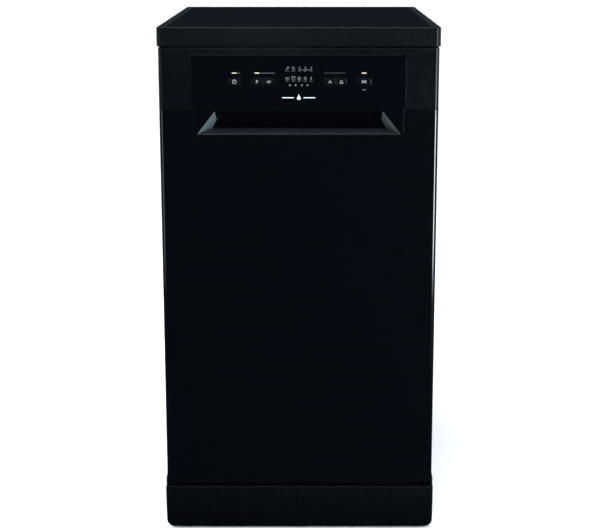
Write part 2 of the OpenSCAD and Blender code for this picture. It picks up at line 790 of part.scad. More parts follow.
module lower_rack() color("#d4d7da") placed() {
    translate([-rack_half, rack_front, rack_z]) grille(2 * rack_half, rack_d, wire, 30);
    for (x = [-rack_half, rack_half - wire])
        grille_x(x, rack_front, rack_back, rack_z + wire + touch, rack_z + lower_rack_h, 30);
    for (f = [rack_front, rack_back - wire])
        grille_y(f, -rack_half + wire + touch, rack_half - wire - touch,
            rack_z + wire + touch, rack_z + lower_rack_h, 30);
    for (x = tine_rows, k = [1 : tines])
        bar_z(rack_z + wire + touch, rack_z + wire + tine_h, x, rack_front + 22 + k * 30, 1.6);
    both_sides() for (f = [axle_front_f, axle_back_f]) {
        block([rack_half - 4, f - 12, axle_z - 6], [rack_half, f + 12, rack_z - touch]);
        bar_x(rack_half - 1, wheel_x + wheel_w + 0.8, f, axle_z, axle_r);
    }
}

module rack_wheels(f) color("#3c4045") placed() both_sides() difference() {
    bar_x(wheel_x, wheel_x + wheel_w, f, axle_z, wheel_r);
    bar_x(wheel_x - cut, wheel_x + wheel_w + cut, f, axle_z, axle_r + run_gap);
    bar_x(wheel_x + wheel_w - 2, wheel_x + wheel_w + cut, f, axle_z, wheel_r - 4);
}

module lower_rack_wheels_front() rack_wheels(axle_front_f);

module lower_rack_wheels_rear() rack_wheels(axle_back_f);

basket_z = rack_z + wire + small;
basket_front = rack_front + 22;
basket_d = 230;
basket_h = 124;

module cutlery_basket() color("#6a6f76") placed() {
    difference() {
        block([basket_x, basket_front, basket_z],
            [basket_x + basket_w, basket_front + basket_d, basket_z + basket_h]);
        for (i = [0, 1], j = [0 : 2])
            block([basket_x + 2.5 + i * (basket_w - 2.5) / 2, basket_front + 2.5 + j * (basket_d - 2.5) / 3,
                    basket_z + 2.5],
                [basket_x + (i + 1) * (basket_w - 2.5) / 2, basket_front + (j + 1) * (basket_d - 2.5) / 3,
                    basket_z + basket_h + cut]);
    }
    slab_x(basket_x + basket_w / 2 - 1.2, basket_x + basket_w / 2 + 1.2) difference() {
        translate([basket_front + 50, basket_z + basket_h - 1]) square([basket_d - 100, 50]);
        translate([basket_front + 62, basket_z + basket_h]) square([basket_d - 124, 38]);
    }
}

module upper_rack() color("#d4d7da") placed() {
    translate([-upper_half, upper_front, upper_z]) grille(2 * upper_half, upper_back - upper_front, wire, 30);
    for (x = [-upper_half, upper_half - wire])
        grille_x(x, upper_front, upper_back, upper_z + wire + touch, upper_z + upper_rack_h + wire, 32);
    for (f = [upper_front, upper_back - wire])
        grille_y(f, -upper_half + wire + touch, upper_half - wire - touch,
            upper_z + wire + touch, upper_z + upper_rack_h + wire, 32);
    both_sides() block([upper_half + touch, upper_front, rail_z + 3],
        [rail_out - 2.5, upper_back, rail_z + rail_h - 3]);
}

module upper_rails() color("#aeb2b5") placed() both_sides() difference() {
    block([rail_out - 5.5, upper_front - 4, rail_z], [rail_out, upper_back + 10, rail_z + rail_h]);
    block([rail_out - 7, upper_front - 5, rail_z + 1.5],
        [rail_out - 1.5, upper_back + 11, rail_z + rail_h - 1.5]);
}

stub_z = feed_z - 24;

module upper_feed_pipe() color("#5a5e64") placed() {
    block([-14, mid_f - 18, feed_z], [14, tub_back - 22, upper_z - 1.5]);
    bar_z(stub_z, feed_z + cut, 0, mid_f, post_r);
    bar_z(stub_z - 3, stub_z, 0, mid_f, post_r + 4);
}

shelf_d = 310;
shelf_hinge_x = -upper_half + 8;

module cup_shelf() color("#d4d7da") placed() {
    translate([shelf_hinge_x, upper_front + 40, shelf_z]) grille(90, shelf_d, 3, 28);
    bar_y(upper_front + 30, upper_front + 50 + shelf_d, shelf_hinge_x, shelf_z + 1.5, 2.5);
}

// ---- The assembly ----

worktop_board();
worktop_frame();
side_panel_left();
side_panel_right();
rear_panel();
base_tray();
kick_plate();
counterweight();
front_frame();
tub_shell();
tub_floor();
door_gasket();
sump();
filter_plate();
filter_cylinder();
softener_tank();
salt_cap();
spray_duct();
wash_pump();
pump_impeller();
drain_pump();
inlet_valve();
air_break_tank();
hinge_brackets();
door_springs();
latch_strike();
mains_gland();
cabinet_screws();
foot_front_left();
foot_front_right();
foot_rear_left();
foot_rear_right();
door_outer_panel();
control_panel();
control_insert();
door_inner_panel();
hinge_arms();
door_latch();
dispenser_body();
dispenser_lid();
rinse_aid_cap();
control_board();
indicator_lenses();
door_screws();
power_button();
program_button();
option_button();
delay_button();
half_load_button();
start_button();
lower_wash_arm();
lower_rack();
lower_rack_wheels_front();
lower_rack_wheels_rear();
cutlery_basket();
upper_rack();
upper_rails();
upper_feed_pipe();
upper_wash_arm();
cup_shelf();
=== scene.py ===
import bpy
import bmesh
import math
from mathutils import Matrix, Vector


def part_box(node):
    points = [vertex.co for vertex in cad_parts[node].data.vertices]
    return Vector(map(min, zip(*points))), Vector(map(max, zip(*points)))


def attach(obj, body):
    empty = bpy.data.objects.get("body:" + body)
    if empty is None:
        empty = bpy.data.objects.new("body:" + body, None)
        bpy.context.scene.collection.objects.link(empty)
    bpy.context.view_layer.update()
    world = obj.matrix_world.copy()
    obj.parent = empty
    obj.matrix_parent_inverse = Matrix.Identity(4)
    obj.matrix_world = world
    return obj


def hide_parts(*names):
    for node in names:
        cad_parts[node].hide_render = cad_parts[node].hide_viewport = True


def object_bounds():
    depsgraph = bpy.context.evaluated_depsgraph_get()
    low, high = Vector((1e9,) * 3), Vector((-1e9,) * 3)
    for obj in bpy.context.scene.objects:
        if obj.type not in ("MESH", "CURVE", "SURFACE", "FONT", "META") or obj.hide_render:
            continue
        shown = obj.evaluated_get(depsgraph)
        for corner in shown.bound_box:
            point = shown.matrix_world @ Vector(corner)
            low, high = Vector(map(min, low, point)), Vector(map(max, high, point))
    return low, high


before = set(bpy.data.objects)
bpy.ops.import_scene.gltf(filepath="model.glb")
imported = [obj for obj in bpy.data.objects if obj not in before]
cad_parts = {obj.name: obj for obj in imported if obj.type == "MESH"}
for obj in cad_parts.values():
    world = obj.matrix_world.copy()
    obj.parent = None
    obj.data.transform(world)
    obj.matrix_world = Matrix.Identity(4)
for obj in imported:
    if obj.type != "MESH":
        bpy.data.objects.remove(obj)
cad_low, cad_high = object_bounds()


# ---- Studio floor and light ----
# The machine stands on a plain pale floor without edges, in the soft even light of a product studio.
# A broad sun lights the floor, and soft boxes draw thin lines along the black edges. The floor and
# the white surroundings are kept out of the gloss, so the front stays black.

def bare():
    bpy.ops.object.select_all(action="DESELECT")


def finish(name, colour, fleck, rough, grain=300, bumps=0.0, kind="noise", stretch=(1, 1, 1), **fixed):
    """A material with its colour and fleck colour, least and most roughness, grain per metre and
    height of its bumps in metres. The rest are plain values of the shader's inputs."""
    made = bpy.data.materials.new(name)
    made.use_nodes = True
    nodes, links = made.node_tree.nodes, made.node_tree.links
    shader = nodes["Principled BSDF"]
    place = nodes.new("ShaderNodeTexCoord")
    size = nodes.new("ShaderNodeMapping")
    size.inputs["Scale"].default_value = stretch
    links.new(place.outputs["Object"], size.inputs["Vector"])
    cloud = nodes.new("ShaderNodeTexNoise")
    cloud.inputs["Scale"].default_value = grain / 12
    cloud.inputs["Detail"].default_value = 4
    links.new(size.outputs["Vector"], cloud.inputs["Vector"])
    if kind == "cells":
        fine = nodes.new("ShaderNodeTexVoronoi")
        level = fine.outputs["Distance"]
    else:
        fine = nodes.new("ShaderNodeTexNoise")
        fine.inputs["Detail"].default_value = 3
        level = fine.outputs["Fac"]
    fine.inputs["Scale"].default_value = grain
    links.new(size.outputs["Vector"], fine.inputs["Vector"])
    both = nodes.new("ShaderNodeMath")
    both.operation = "MULTIPLY_ADD"
    links.new(cloud.outputs["Fac"], both.inputs[0])
    both.inputs[1].default_value = 0.6
    links.new(level, both.inputs[2])
    spread = nodes.new("ShaderNodeValToRGB")
    spread.color_ramp.elements[0].position = 0.45
    spread.color_ramp.elements[0].color = (*colour, 1)
    spread.color_ramp.elements[1].position = 1.15 if kind == "cells" else 1.0
    spread.color_ramp.elements[1].color = (*fleck, 1)
    links.new(both.outputs["Value"], spread.inputs["Fac"])
    links.new(spread.outputs["Color"], shader.inputs["Base Color"])
    sheen = nodes.new("ShaderNodeMapRange")
    sheen.inputs["From Min"].default_value = 0.3
    sheen.inputs["From Max"].default_value = 0.7
    sheen.inputs["To Min"].default_value = rough[0]
    sheen.inputs["To Max"].default_value = rough[1]
    links.new(cloud.outputs["Fac"], sheen.inputs["Value"])
    links.new(sheen.outputs["Result"], shader.inputs["Roughness"])
    if bumps:
        bump = nodes.new("ShaderNodeBump")
        bump.inputs["Strength"].default_value = 1
        bump.inputs["Distance"].default_value = bumps
        links.new(level, bump.inputs["Height"])
        links.new(bump.outputs["Normal"], shader.inputs["Normal"])
    for key, value in fixed.items():
        shader.inputs[key.replace("_", " ")].default_value = value
    return made


def paint(piece, material):
    piece.data.materials.clear()
    piece.data.materials.append(material)


bare()
bpy.ops.mesh.primitive_grid_add(x_subdivisions=2, y_subdivisions=2, size=60)
floor = bpy.context.object
floor.name = "studio_floor"
paint(floor, finish("floor_paper", (0.86, 0.86, 0.87), (0.9, 0.9, 0.9), (0.7, 0.8), grain=40))
floor.visible_glossy = False

bare()
bpy.ops.object.light_add(type="SUN", location=(0, 0, 4))
sun = bpy.context.object
sun.name = "studio_sun"
sun.rotation_euler = (math.radians(20), math.radians(-16), 0)
sun.data.energy = 3.5
sun.data.angle = math.radians(50)


def soft_box(name, place, aim, width, height, watts, colour=(1, 1, 1)):
    bare()
    bpy.ops.object.light_add(type="AREA", location=place)
    lamp = bpy.context.object
    lamp.name = name
    lamp.data.shape = "RECTANGLE"
    lamp.data.size = width
    lamp.data.size_y = height
    lamp.data.energy = watts
    lamp.data.color = colour
    lamp.visible_camera = False
    lamp.rotation_euler = (Vector(aim) - Vector(place)).to_track_quat("-Z", "Y").to_euler()


soft_box("soft_box_left", (-2.6, -0.9, 1.5), (0, -0.3, 0.5), 0.5, 2.2, 30, (0.88, 0.95, 1))
soft_box("soft_box_right", (2.6, -0.7, 1.5), (0, -0.3, 0.5), 0.5, 2.2, 40, (0.88, 0.95, 1))
soft_box("rear_box_left", (-3, 2, 1.2), (0, 0.29, 0.45), 1, 1.6, 14)
soft_box("rear_box_right", (3, 1.8, 1.2), (0, 0.29, 0.45), 1, 1.6, 17)
soft_box("low_box_right", (1.3, -1.9, 0.35), (-0.15, -0.29, 0.7), 0.7, 0.7, 72, (0.88, 0.95, 1))
soft_box("low_box_left", (-1.3, -1.9, 0.35), (0.15, -0.29, 0.7), 0.7, 0.7, 7, (0.88, 0.95, 1))
soft_box("edge_box", (0, -1.5, 2.2), (0, -0.3, 0.7), 1.6, 2, 52, (0.88, 0.95, 1))
soft_box("rim_box", (-0.12, -1.9, 0.88), (-0.05, -0.29, 0.83), 0.26, 0.12, 0.8, (0.8, 0.92, 1))

sky = bpy.data.worlds.new("studio_air")
bpy.context.scene.world = sky
sky.use_nodes = True
air, wires = sky.node_tree.nodes, sky.node_tree.links
way_up = air.new("ShaderNodeTexCoord")
parts = air.new("ShaderNodeSeparateXYZ")
wires.new(way_up.outputs["Generated"], parts.inputs["Vector"])
ceiling = air.new("ShaderNodeValToRGB")
ceiling.color_ramp.elements[0].position = 0.05
ceiling.color_ramp.elements[0].color = (0.012, 0.016, 0.022, 1)
ceiling.color_ramp.elements[1].position = 0.8
ceiling.color_ramp.elements[1].color = (0.36, 0.4, 0.44, 1)
wires.new(parts.outputs["Z"], ceiling.inputs["Fac"])
wires.new(ceiling.outputs["Color"], air["Background"].inputs["Color"])
white_wall = air.new("ShaderNodeBackground")
white_wall.inputs["Color"].default_value = (1, 1, 1, 1)
white_wall.inputs["Strength"].default_value = 1
seen = air.new("ShaderNodeLightPath")
either = air.new("ShaderNodeMixShader")
wires.new(seen.outputs["Is Camera Ray"], either.inputs["Fac"])
wires.new(air["Background"].outputs["Background"], either.inputs[1])
wires.new(white_wall.outputs["Background"], either.inputs[2])
wires.new(either.outputs["Shader"], air["World Output"].inputs["Surface"])
bpy.context.scene.view_settings.view_transform = "Standard"


# ---- Camera ----
# It stands almost in front of the machine, a little above the worktop, and looks slightly down
# through a long lens, which keeps the cabinet's upright edges nearly parallel.

bare()
bpy.ops.object.camera_add(location=(0.017, cad_low.y - 2.247, 1.005),
                          rotation=(math.radians(90 - 12.3), 0, 0))
camera = bpy.context.object
camera.name = "studio_camera"
camera.data.lens = 85.2
camera.data.shift_x = -9.5 / 600
camera.data.shift_y = -0.05
bpy.context.scene.camera = camera


# ---- Worktop rim ----
# One injection moulded frame of black plastic that clips onto the cabinet. Its front corners are
# rounded, and an inner ledge carries the board.

def block(name, low, high):
    """A box between two corners, as one piece with its place in its mesh."""
    low, high = Vector(low), Vector(high)
    bare()
    bpy.ops.mesh.primitive_cube_add(size=1, location=(low + high) / 2)
    piece = bpy.context.object
    piece.name = name
    piece.scale = high - low
    bpy.ops.object.transform_apply(location=True, rotation=True, scale=True)
    return piece


def use(piece):
    bare()
    piece.select_set(True)
    bpy.context.view_layer.objects.active = piece


def pick_faces(piece, test):
    """Opens the piece in edit mode with the faces selected whose middle and normal pass the test."""
    use(piece)
    bpy.ops.object.mode_set(mode="EDIT")
    bpy.ops.mesh.select_mode(type="FACE")
    bpy.ops.mesh.select_all(action="DESELECT")
    shape = bmesh.from_edit_mesh(piece.data)
    for face in shape.faces:
        face.select_set(test(face.calc_center_median(), face.normal))
    bmesh.update_edit_mesh(piece.data)


def pick_edges(piece, test):
    """Opens the piece in edit mode with the edges selected whose middle and direction pass the test."""
    use(piece)
    bpy.ops.object.mode_set(mode="EDIT")
    bpy.ops.mesh.select_mode(type="EDGE")
    bpy.ops.mesh.select_all(action="DESELECT")
    shape = bmesh.from_edit_mesh(piece.data)
    for edge in shape.edges:
        start, end = edge.verts[0].co, edge.verts[1].co
        way = (end - start).normalized()
        edge.select_set(test((start + end) / 2, Vector(map(abs, way))))
    bmesh.update_edit_mesh(piece.data)


def leave():
    bpy.ops.object.mode_set(mode="OBJECT")


def modify(piece, kind, **settings):
    """Adds a modifier with these settings and applies it."""
    use(piece)
    modifier = piece.modifiers.new(kind.lower(), kind)
    for key, value in settings.items():
        setattr(modifier, key, value)
    bpy.ops.object.modifier_apply(modifier=modifier.name)


def round_edges(piece, width, segments, test):
    pick_edges(piece, test)
    bpy.ops.mesh.bevel(offset=width, segments=segments, affect="EDGES")
    leave()


def sink(piece, test, *steps, each=False):
    """Insets the faces that pass the test. A step is a border's width and the height behind it."""
    pick_faces(piece, test)
    for width, height in steps:
        bpy.ops.mesh.inset(thickness=width, depth=height, use_individual=each)
    leave()


def smooth(piece, angle):
    use(piece)
    bpy.ops.object.shade_smooth_by_angle(angle=math.radians(angle))


def soften(piece, width, segments=2, angle=35):
    """Rounds every sharp edge of a finished piece and shades it smooth."""
    modify(piece, "BEVEL", width=width, segments=segments, limit_method="ANGLE",
           angle_limit=math.radians(angle), harden_normals=False)
    smooth(piece, angle)
    modify(piece, "WEIGHTED_NORMAL", keep_sharp=True)


def seat(piece, body, slot, *nodes):
    """The piece moves with a body and stands for these nodes, which are hidden. The slot argument is not
    used.
    """
    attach(piece, body)
    if nodes:
        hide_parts(*nodes)


MM = 0.001
low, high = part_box("worktop_frame")
board_low, board_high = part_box("worktop_board")
rim = block("worktop_rim", low, high)
rim_width = board_low.x - low.x - 0.2 * MM
pick_faces(rim, lambda middle, normal: normal.z > 0.9)
bpy.ops.mesh.inset(thickness=rim_width)
bpy.ops.mesh.extrude_region_move(TRANSFORM_OT_translate={"value": (0, 0, board_low.z - high.z)})
bpy.ops.mesh.inset(thickness=8 * MM)
leave()
sink(rim, lambda middle, normal: normal.z < -0.9, (rim_width + 8 * MM, 0))
pick_faces(rim, lambda middle, normal: abs(normal.z) > 0.9 and middle.xy.length < 0.02)
bpy.ops.mesh.bridge_edge_loops()
leave()
round_edges(rim, 8 * MM, 8,
            lambda middle, way: way.z > 0.9 and abs(middle.x) > 0.2 and middle.y < low.y + MM)
round_edges(rim, 4 * MM, 5,
            lambda middle, way: way.z > 0.9 and abs(middle.x) > 0.2 and middle.y > high.y - MM)
soften(rim, 1.1 * MM, 3)
rim_plastic = finish("black_rim_plastic", (0.0005, 0.0009, 0.0016), (0.0007, 0.0012, 0.002),
                     (0.26, 0.32), grain=2600, bumps=0.000001, Specular_IOR_Level=0.1)
paint(rim, rim_plastic)
seat(rim, "cabinet", "rim_plastic", "worktop_frame")


# ---- Worktop board ----
# A chipboard panel with a black laminate skin. It lies in the rim, a hair below its edge,
# and the laminate has the fine pebbled press pattern of a kitchen worktop.

board = block("laminate_board", board_low, board_high)
round_edges(board, 2 * MM, 4, lambda middle, way: way.z > 0.9)
soften(board, 0.5 * MM, 2)
paint(board, finish("black_laminate", (0.0007, 0.0015, 0.0026), (0.0016, 0.0029, 0.0047),
                    (0.45, 0.57), grain=1100, bumps=0.00002, kind="cells", Specular_IOR_Level=0.006))
seat(board, "cabinet", "worktop_laminate", "worktop_board")


# ---- Side panels ----
# Two panels of thin sheet steel, enamelled black, folded inwards at the front and the back.
# They stand under the worktop's rim and are screwed to the rear panel.

def open_up(piece, test):
    """Takes away the faces that pass the test."""
    pick_faces(piece, test)
    bpy.ops.mesh.delete(type="FACE")
    leave()


black_enamel = finish("black_enamel", (0.0003, 0.00055, 0.001), (0.0005, 0.0009, 0.0016),
                      (0.1, 0.15), grain=700, bumps=0.0000015, Specular_IOR_Level=0.36)
for side in ("left", "right"):
    low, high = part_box("side_panel_" + side)
    out = -1 if side == "left" else 1
    wall = block(side + "_side_wall", low, high)
    round_edges(wall, 2.4 * MM, 5, lambda middle, way: way.z > 0.9 and middle.x * out > 0.22)
    open_up(wall, lambda middle, normal: abs(normal.z) > 0.9 or normal.x * out < -0.9)
    modify(wall, "SOLIDIFY", thickness=0.8 * MM, offset=-1)
    soften(wall, 0.2 * MM, 1, 50)
    paint(wall, black_enamel)
    seat(wall, "cabinet", "black_enamel", "side_panel_" + side)


# ---- Door outer panel ----
# Deep-drawn sheet steel, enamelled black. Its upright edges are rounded, its lower edge is folded
# back, and its upper edge has a notch for the tongue of the control insert.

def carve(piece, tool, way="DIFFERENCE"):
    """Cuts the tool out of the piece, or joins it on, and takes the tool away."""
    modify(piece, "BOOLEAN", object=tool, operation=way, solver="EXACT")
    bpy.data.objects.remove(tool)


low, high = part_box("door_outer_panel")
insert_low, insert_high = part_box("control_insert")
sheet = block("door_skin", low, high)
round_edges(sheet, 6 * MM, 8, lambda middle, way: way.z > 0.9 and middle.y < low.y + MM)
open_up(sheet, lambda middle, normal: normal.y > 0.9 or normal.z > 0.9)
modify(sheet, "SOLIDIFY", thickness=1.9 * MM, offset=-1)
tongue_half = insert_high.x - 2.8 * MM
notch = block("notch", (-tongue_half - 0.5 * MM, low.y - MM, insert_low.z - 0.5 * MM),
              (tongue_half + 0.5 * MM, low.y + 4 * MM, high.z + MM))
round_edges(notch, 8 * MM, 8, lambda middle, way: way.y > 0.9 and middle.z < high.z)
carve(sheet, notch)
for side in (-1, 1):
    arm_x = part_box("hinge_arms")[1].x
    inner, outer = sorted((side * (arm_x - 16 * MM), side * (arm_x + 6 * MM)))
    slit = block("slit", (inner, low.y + MM, low.z - MM), (outer, high.y + MM, low.z + 3 * MM))
    carve(sheet, slit)
soften(sheet, 1 * MM, 3, 40)
paint(sheet, black_enamel)
seat(sheet, "door", "black_enamel", "door_outer_panel")


# ---- Control panel ----
# The fascia is a moulded shell of black plastic with a satin face. It closes the top of the door,
# and the glossy insert is let into its front.

low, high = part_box("control_panel")
fascia_low = low
fascia = block("fascia", low, high)
round_edges(fascia, 6 * MM, 8, lambda middle, way: way.z > 0.9 and middle.y < low.y + MM)
round_edges(fascia, 0.7 * MM, 3,
            lambda middle, way: middle.z > high.z - MM and middle.y < low.y + 7 * MM and way.y < 0.98)
open_up(fascia, lambda middle, normal: normal.y > 0.9 or normal.z < -0.9)
modify(fascia, "SOLIDIFY", thickness=2.5 * MM, offset=-1)
window = block("window", (-insert_high.x - 0.2 * MM, low.y - MM, low.z - MM),
               (insert_high.x + 0.2 * MM, low.y + 5 * MM, insert_high.z + 0.2 * MM))
round_edges(window, 8 * MM, 8, lambda middle, way: way.y > 0.9 and middle.z > low.z)
carve(fascia, window)
soften(fascia, 0.6 * MM, 3, 40)
paint(fascia, finish("fascia_plastic", (0.0004, 0.0008, 0.0015), (0.0006, 0.0011, 0.002),
                     (0.2, 0.27), grain=2200, bumps=0.000003, Specular_IOR_Level=0.13))
seat(fascia, "door", "fascia_plastic", "control_panel")


# ---- Control insert ----
# One glossy black moulding: a flat plate for the controls, and below it a tongue with the hollow
# that a hand reaches into to pull the door open. The hollow's cheeks slope inwards. The cheeks carry
# a painted highlight and the hollow's floor carries painted light from above, as lighter satin colours.

def shift_edges(piece, test, scale=(1, 1, 1), way=(0, 0, 0)):
    """Stretches the edges that pass the test about their middle, and then moves them."""
    pick_edges(piece, test)
    bpy.ops.transform.resize(value=scale)
    bpy.ops.transform.translate(value=way)
    leave()


low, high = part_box("control_insert")
plate_back = low.y + 3 * MM
insert = block("glossy_insert", (low.x, low.y, fascia_low.z), (high.x, plate_back, high.z))
round_edges(insert, 8 * MM, 8, lambda middle, way: way.y > 0.9 and middle.z > fascia_low.z + MM)
tongue = block("tongue", (-tongue_half, low.y, low.z), (tongue_half, plate_back, fascia_low.z + MM))
round_edges(tongue, 8 * MM, 8, lambda middle, way: way.y > 0.9 and middle.z < fascia_low.z)
carve(insert, tongue, "UNION")
pocket_half = 166 * MM
carve(insert, block("pocket", (-pocket_half, plate_back - MM, low.z + MM),
                    (pocket_half, high.y, fascia_low.z + 28 * MM)), "UNION")
mouth_low, mouth_high = low.z + 2.5 * MM, fascia_low.z - 2.5 * MM
hollow_back = high.y - 4 * MM
mouth_half, upper_half, back_half, floor_half = 163 * MM, 134 * MM, 133 * MM, 141 * MM
mouth = block("mouth", (-mouth_half, low.y - 0.5 * MM, mouth_low), (mouth_half, hollow_back, mouth_high))
shift_edges(mouth, lambda middle, way: way.x > 0.9 and middle.z > mouth_high - MM and middle.y < low.y,
            (upper_half / mouth_half, 1, 1))
shift_edges(mouth, lambda middle, way: (way.x > 0.9 and middle.z > mouth_high - MM
                                        and middle.y > hollow_back - MM),
            (back_half / mouth_half, 1, 1), (0, 0, low.z + 22 * MM - mouth_high))
shift_edges(mouth, lambda middle, way: (way.x > 0.9 and middle.z < mouth_low + MM
                                        and middle.y > hollow_back - MM),
            (floor_half / mouth_half, 1, 1), (0, 0, 4 * MM))
carve(insert, mouth)
finger_half = 130 * MM
carve(insert, block("fingers", (-finger_half, plate_back, low.z + 19 * MM),
                    (finger_half, hollow_back, fascia_low.z + 24 * MM)))
buttons = ["power_button", "program_button", "option_button", "delay_button", "half_load_button",
           "start_button"]
button_gap = 0.15 * MM
for name in buttons:
    key_low, key_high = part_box(name)
    shaft = block("shaft", (key_low.x - button_gap, low.y - MM, key_low.z + 1.3 * MM - button_gap),
                  (key_high.x + button_gap, plate_back + MM, key_high.z - 1.3 * MM + button_gap))
    round_edges(shaft, 1.8 * MM, 4, lambda middle, way: way.y > 0.9)
    carve(insert, shaft)
soften(insert, 0.5 * MM, 3, 25)
insert_gloss = finish("insert_gloss", (0.0004, 0.0006, 0.001), (0.0006, 0.0009, 0.0015), (0.05, 0.09),
                      grain=500, bumps=0.000002, Specular_IOR_Level=0.22, Coat_Weight=0.2,
                      Coat_Roughness=0.03)
paint(insert, insert_gloss)
# painted highlight: the sloping cheeks of the glossy black hollow get a lighter grey satin colour in place
# of the light they reflect
insert.data.materials.append(finish("cheek_painted_highlight", (0.04, 0.055, 0.062), (0.06, 0.08, 0.088), (0.4, 0.5),
                                    grain=900, bumps=0.00001))
# painted light: the hollow's floor, which faces up, gets a lighter slate colour in place of the light
# falling on it from above
insert.data.materials.append(finish("hollow_floor_painted_light", (0.0045, 0.0075, 0.011), (0.0065, 0.0105, 0.015),
                                    (0.35, 0.45), grain=900, bumps=0.00001))
# faces of the sloping cheeks take the painted highlight colour
for face in insert.data.polygons:
    within = low.y + 0.1 * MM < face.center.y < hollow_back - MM and mouth_low < face.center.z < mouth_high
    if within and abs(face.normal.x) > 0.4 and abs(face.center.x) > 0.131:
        face.material_index = 1
    # upward faces of the hollow's floor take the painted light colour
    elif low.y < face.center.y < hollow_back and face.center.z < low.z + 8 * MM and face.normal.z > 0.5:
        face.material_index = 2
seat(insert, "door", "insert_gloss", "control_insert")


# ---- Plinth ----
# A moulded kick plate closes the base tray's front. Its face leans back towards the floor, its lower
# corners are round, and its two ears clip over the tray's sides.

def cut_line(piece, place, way):
    """Cuts a line all around a piece, square to a direction."""
    pick_faces(piece, lambda middle, normal: True)
    bpy.ops.mesh.bisect(plane_co=place, plane_no=way)
    leave()


low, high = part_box("kick_plate")
kick_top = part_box("door_outer_panel")[0].z - 8 * MM
kick = block("plinth", low, (high.x, high.y, kick_top))
for level in (kick_top - 22 * MM, 25 * MM):
    cut_line(kick, (0, 0, level), (0, 0, 1))
lean_from = 25 * MM
shift_edges(kick, lambda middle, way: way.x > 0.9 and middle.y < low.y + MM
            and abs(middle.z - lean_from) < MM,
            way=(0, 5 * MM, 0))
shift_edges(kick, lambda middle, way: way.x > 0.9 and middle.y < low.y + MM and middle.z < 5 * MM,
            way=(0, 14 * MM, 0))
round_edges(kick, 14 * MM, 8, lambda middle, way: way.y > 0.9 and middle.z < 5 * MM)
round_edges(kick, 9 * MM, 5,
            lambda middle, way: way.x > 0.9 and middle.y < high.y - MM
                and 10 * MM < middle.z < kick_top - MM)
open_up(kick, lambda middle, normal: normal.y > 0.9)
modify(kick, "SOLIDIFY", thickness=3 * MM, offset=-1)
soften(kick, 1.3 * MM, 3, 40)
for side in (-1, 1):
    ear = block("ear", (min(side * high.x, side * (high.x - 1.7 * MM)), low.y + 9 * MM, 22 * MM),
                (max(side * high.x, side * (high.x - 1.7 * MM)), high.y - MM, high.z))
    round_edges(ear, 6 * MM, 5, lambda middle, way: way.x > 0.9 and middle.z > high.z - MM)
    soften(ear, 0.4 * MM, 2)
    ear.select_set(True)
    kick.select_set(True)
    bpy.context.view_layer.objects.active = kick
    bpy.ops.object.join()
paint(kick, finish("plinth_plastic", (0.0003, 0.00055, 0.001), (0.0005, 0.0009, 0.0015), (0.26, 0.34),
                   grain=2400, bumps=0.000003, Specular_IOR_Level=0.13))
seat(kick, "cabinet", "kick_plastic", "kick_plate")


# ---- Push buttons ----
# Six small keys of glossy black plastic stand in the insert. Each has a rounded face and a flange
# behind the plate that keeps it in, and it rests on a switch of the control board.

def join(name, pieces):
    """Makes one piece of several."""
    bare()
    for piece in pieces:
        piece.select_set(True)
    bpy.context.view_layer.objects.active = pieces[0]
    bpy.ops.object.join()
    pieces[0].name = name
    return pieces[0]


key_gloss = finish("key_gloss", (0.001, 0.0014, 0.002), (0.0016, 0.0021, 0.0029), (0.07, 0.12),
                   grain=600, bumps=0.000004, Specular_IOR_Level=0.4)
for name in buttons:
    low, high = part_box(name)
    lip = 1.3 * MM
    key = block(name + "_key", (low.x, low.y, low.z + lip), (high.x, high.y, high.z - lip))
    round_edges(key, 1.6 * MM, 4, lambda middle, way: way.y > 0.9)
    sink(key, lambda middle, normal: normal.y < -0.9, (0.9 * MM, -0.1 * MM))
    flange = block("flange", (low.x, plate_back + 0.2 * MM, low.z), (high.x, plate_back + 2 * MM, high.z))
    key = join(name + "_key", [key, flange])
    soften(key, 0.25 * MM, 2, 30)
    paint(key, key_gloss)
    seat(key, name, "button_gloss", name)


# ---- Printed symbols ----
# Small signs screen printed in pale grey on the insert and the keys, a hair thick. They show the
# wash programs, and a plain drop stands under them where a maker would put a badge.

ink_front = insert_low.y - 0.06 * MM


def stroke(start, end, width=0.55, face=0.0):
    """A printed line between two (x, z) places, in millimetres."""
    (x0, z0), (x1, z1) = start, end
    length = math.hypot(x1 - x0, z1 - z0)
    bare()
    bpy.ops.mesh.primitive_cube_add(size=1, location=((x0 + x1) / 2 * MM, ink_front + face + 0.06 * MM,
                                                      (z0 + z1) / 2 * MM),
                                    rotation=(0, -math.atan2(z1 - z0, x1 - x0), 0))
    line = bpy.context.object
    line.scale = ((length + width * 0.6) * MM, 0.1 * MM, width * MM)
    bpy.ops.object.transform_apply(location=True, rotation=True, scale=True)
    round_edges(line, width * 0.3 * MM, 2, lambda middle, way: way.y > 0.9)
    return line


def drum(radius, depth, place, sides=48, axis="Z"):
    """A round block with its middle at a place, about a line along X, Y or Z."""
    turn = {"X": (0, math.radians(90), 0), "Y": (math.radians(90), 0, 0), "Z": (0, 0, 0)}[axis]
    bare()
    bpy.ops.mesh.primitive_cylinder_add(vertices=sides, radius=radius, depth=depth, location=place,
                                        rotation=turn)
    bpy.ops.object.transform_apply(location=True, rotation=True, scale=True)
    return bpy.context.object


def loop(x, z, radius, sides=24, width=0.5, face=0.0):
    """A printed ring, or a polygon when it has few sides."""
    ring = drum(radius * MM, 0.1 * MM, (x * MM, ink_front + face + 0.06 * MM, z * MM), sides, "Y")
    pick_faces(ring, lambda middle, normal: abs(normal.y) > 0.9)
    bpy.ops.mesh.inset(thickness=width * MM)
    bpy.ops.mesh.bridge_edge_loops()
    leave()
    return ring


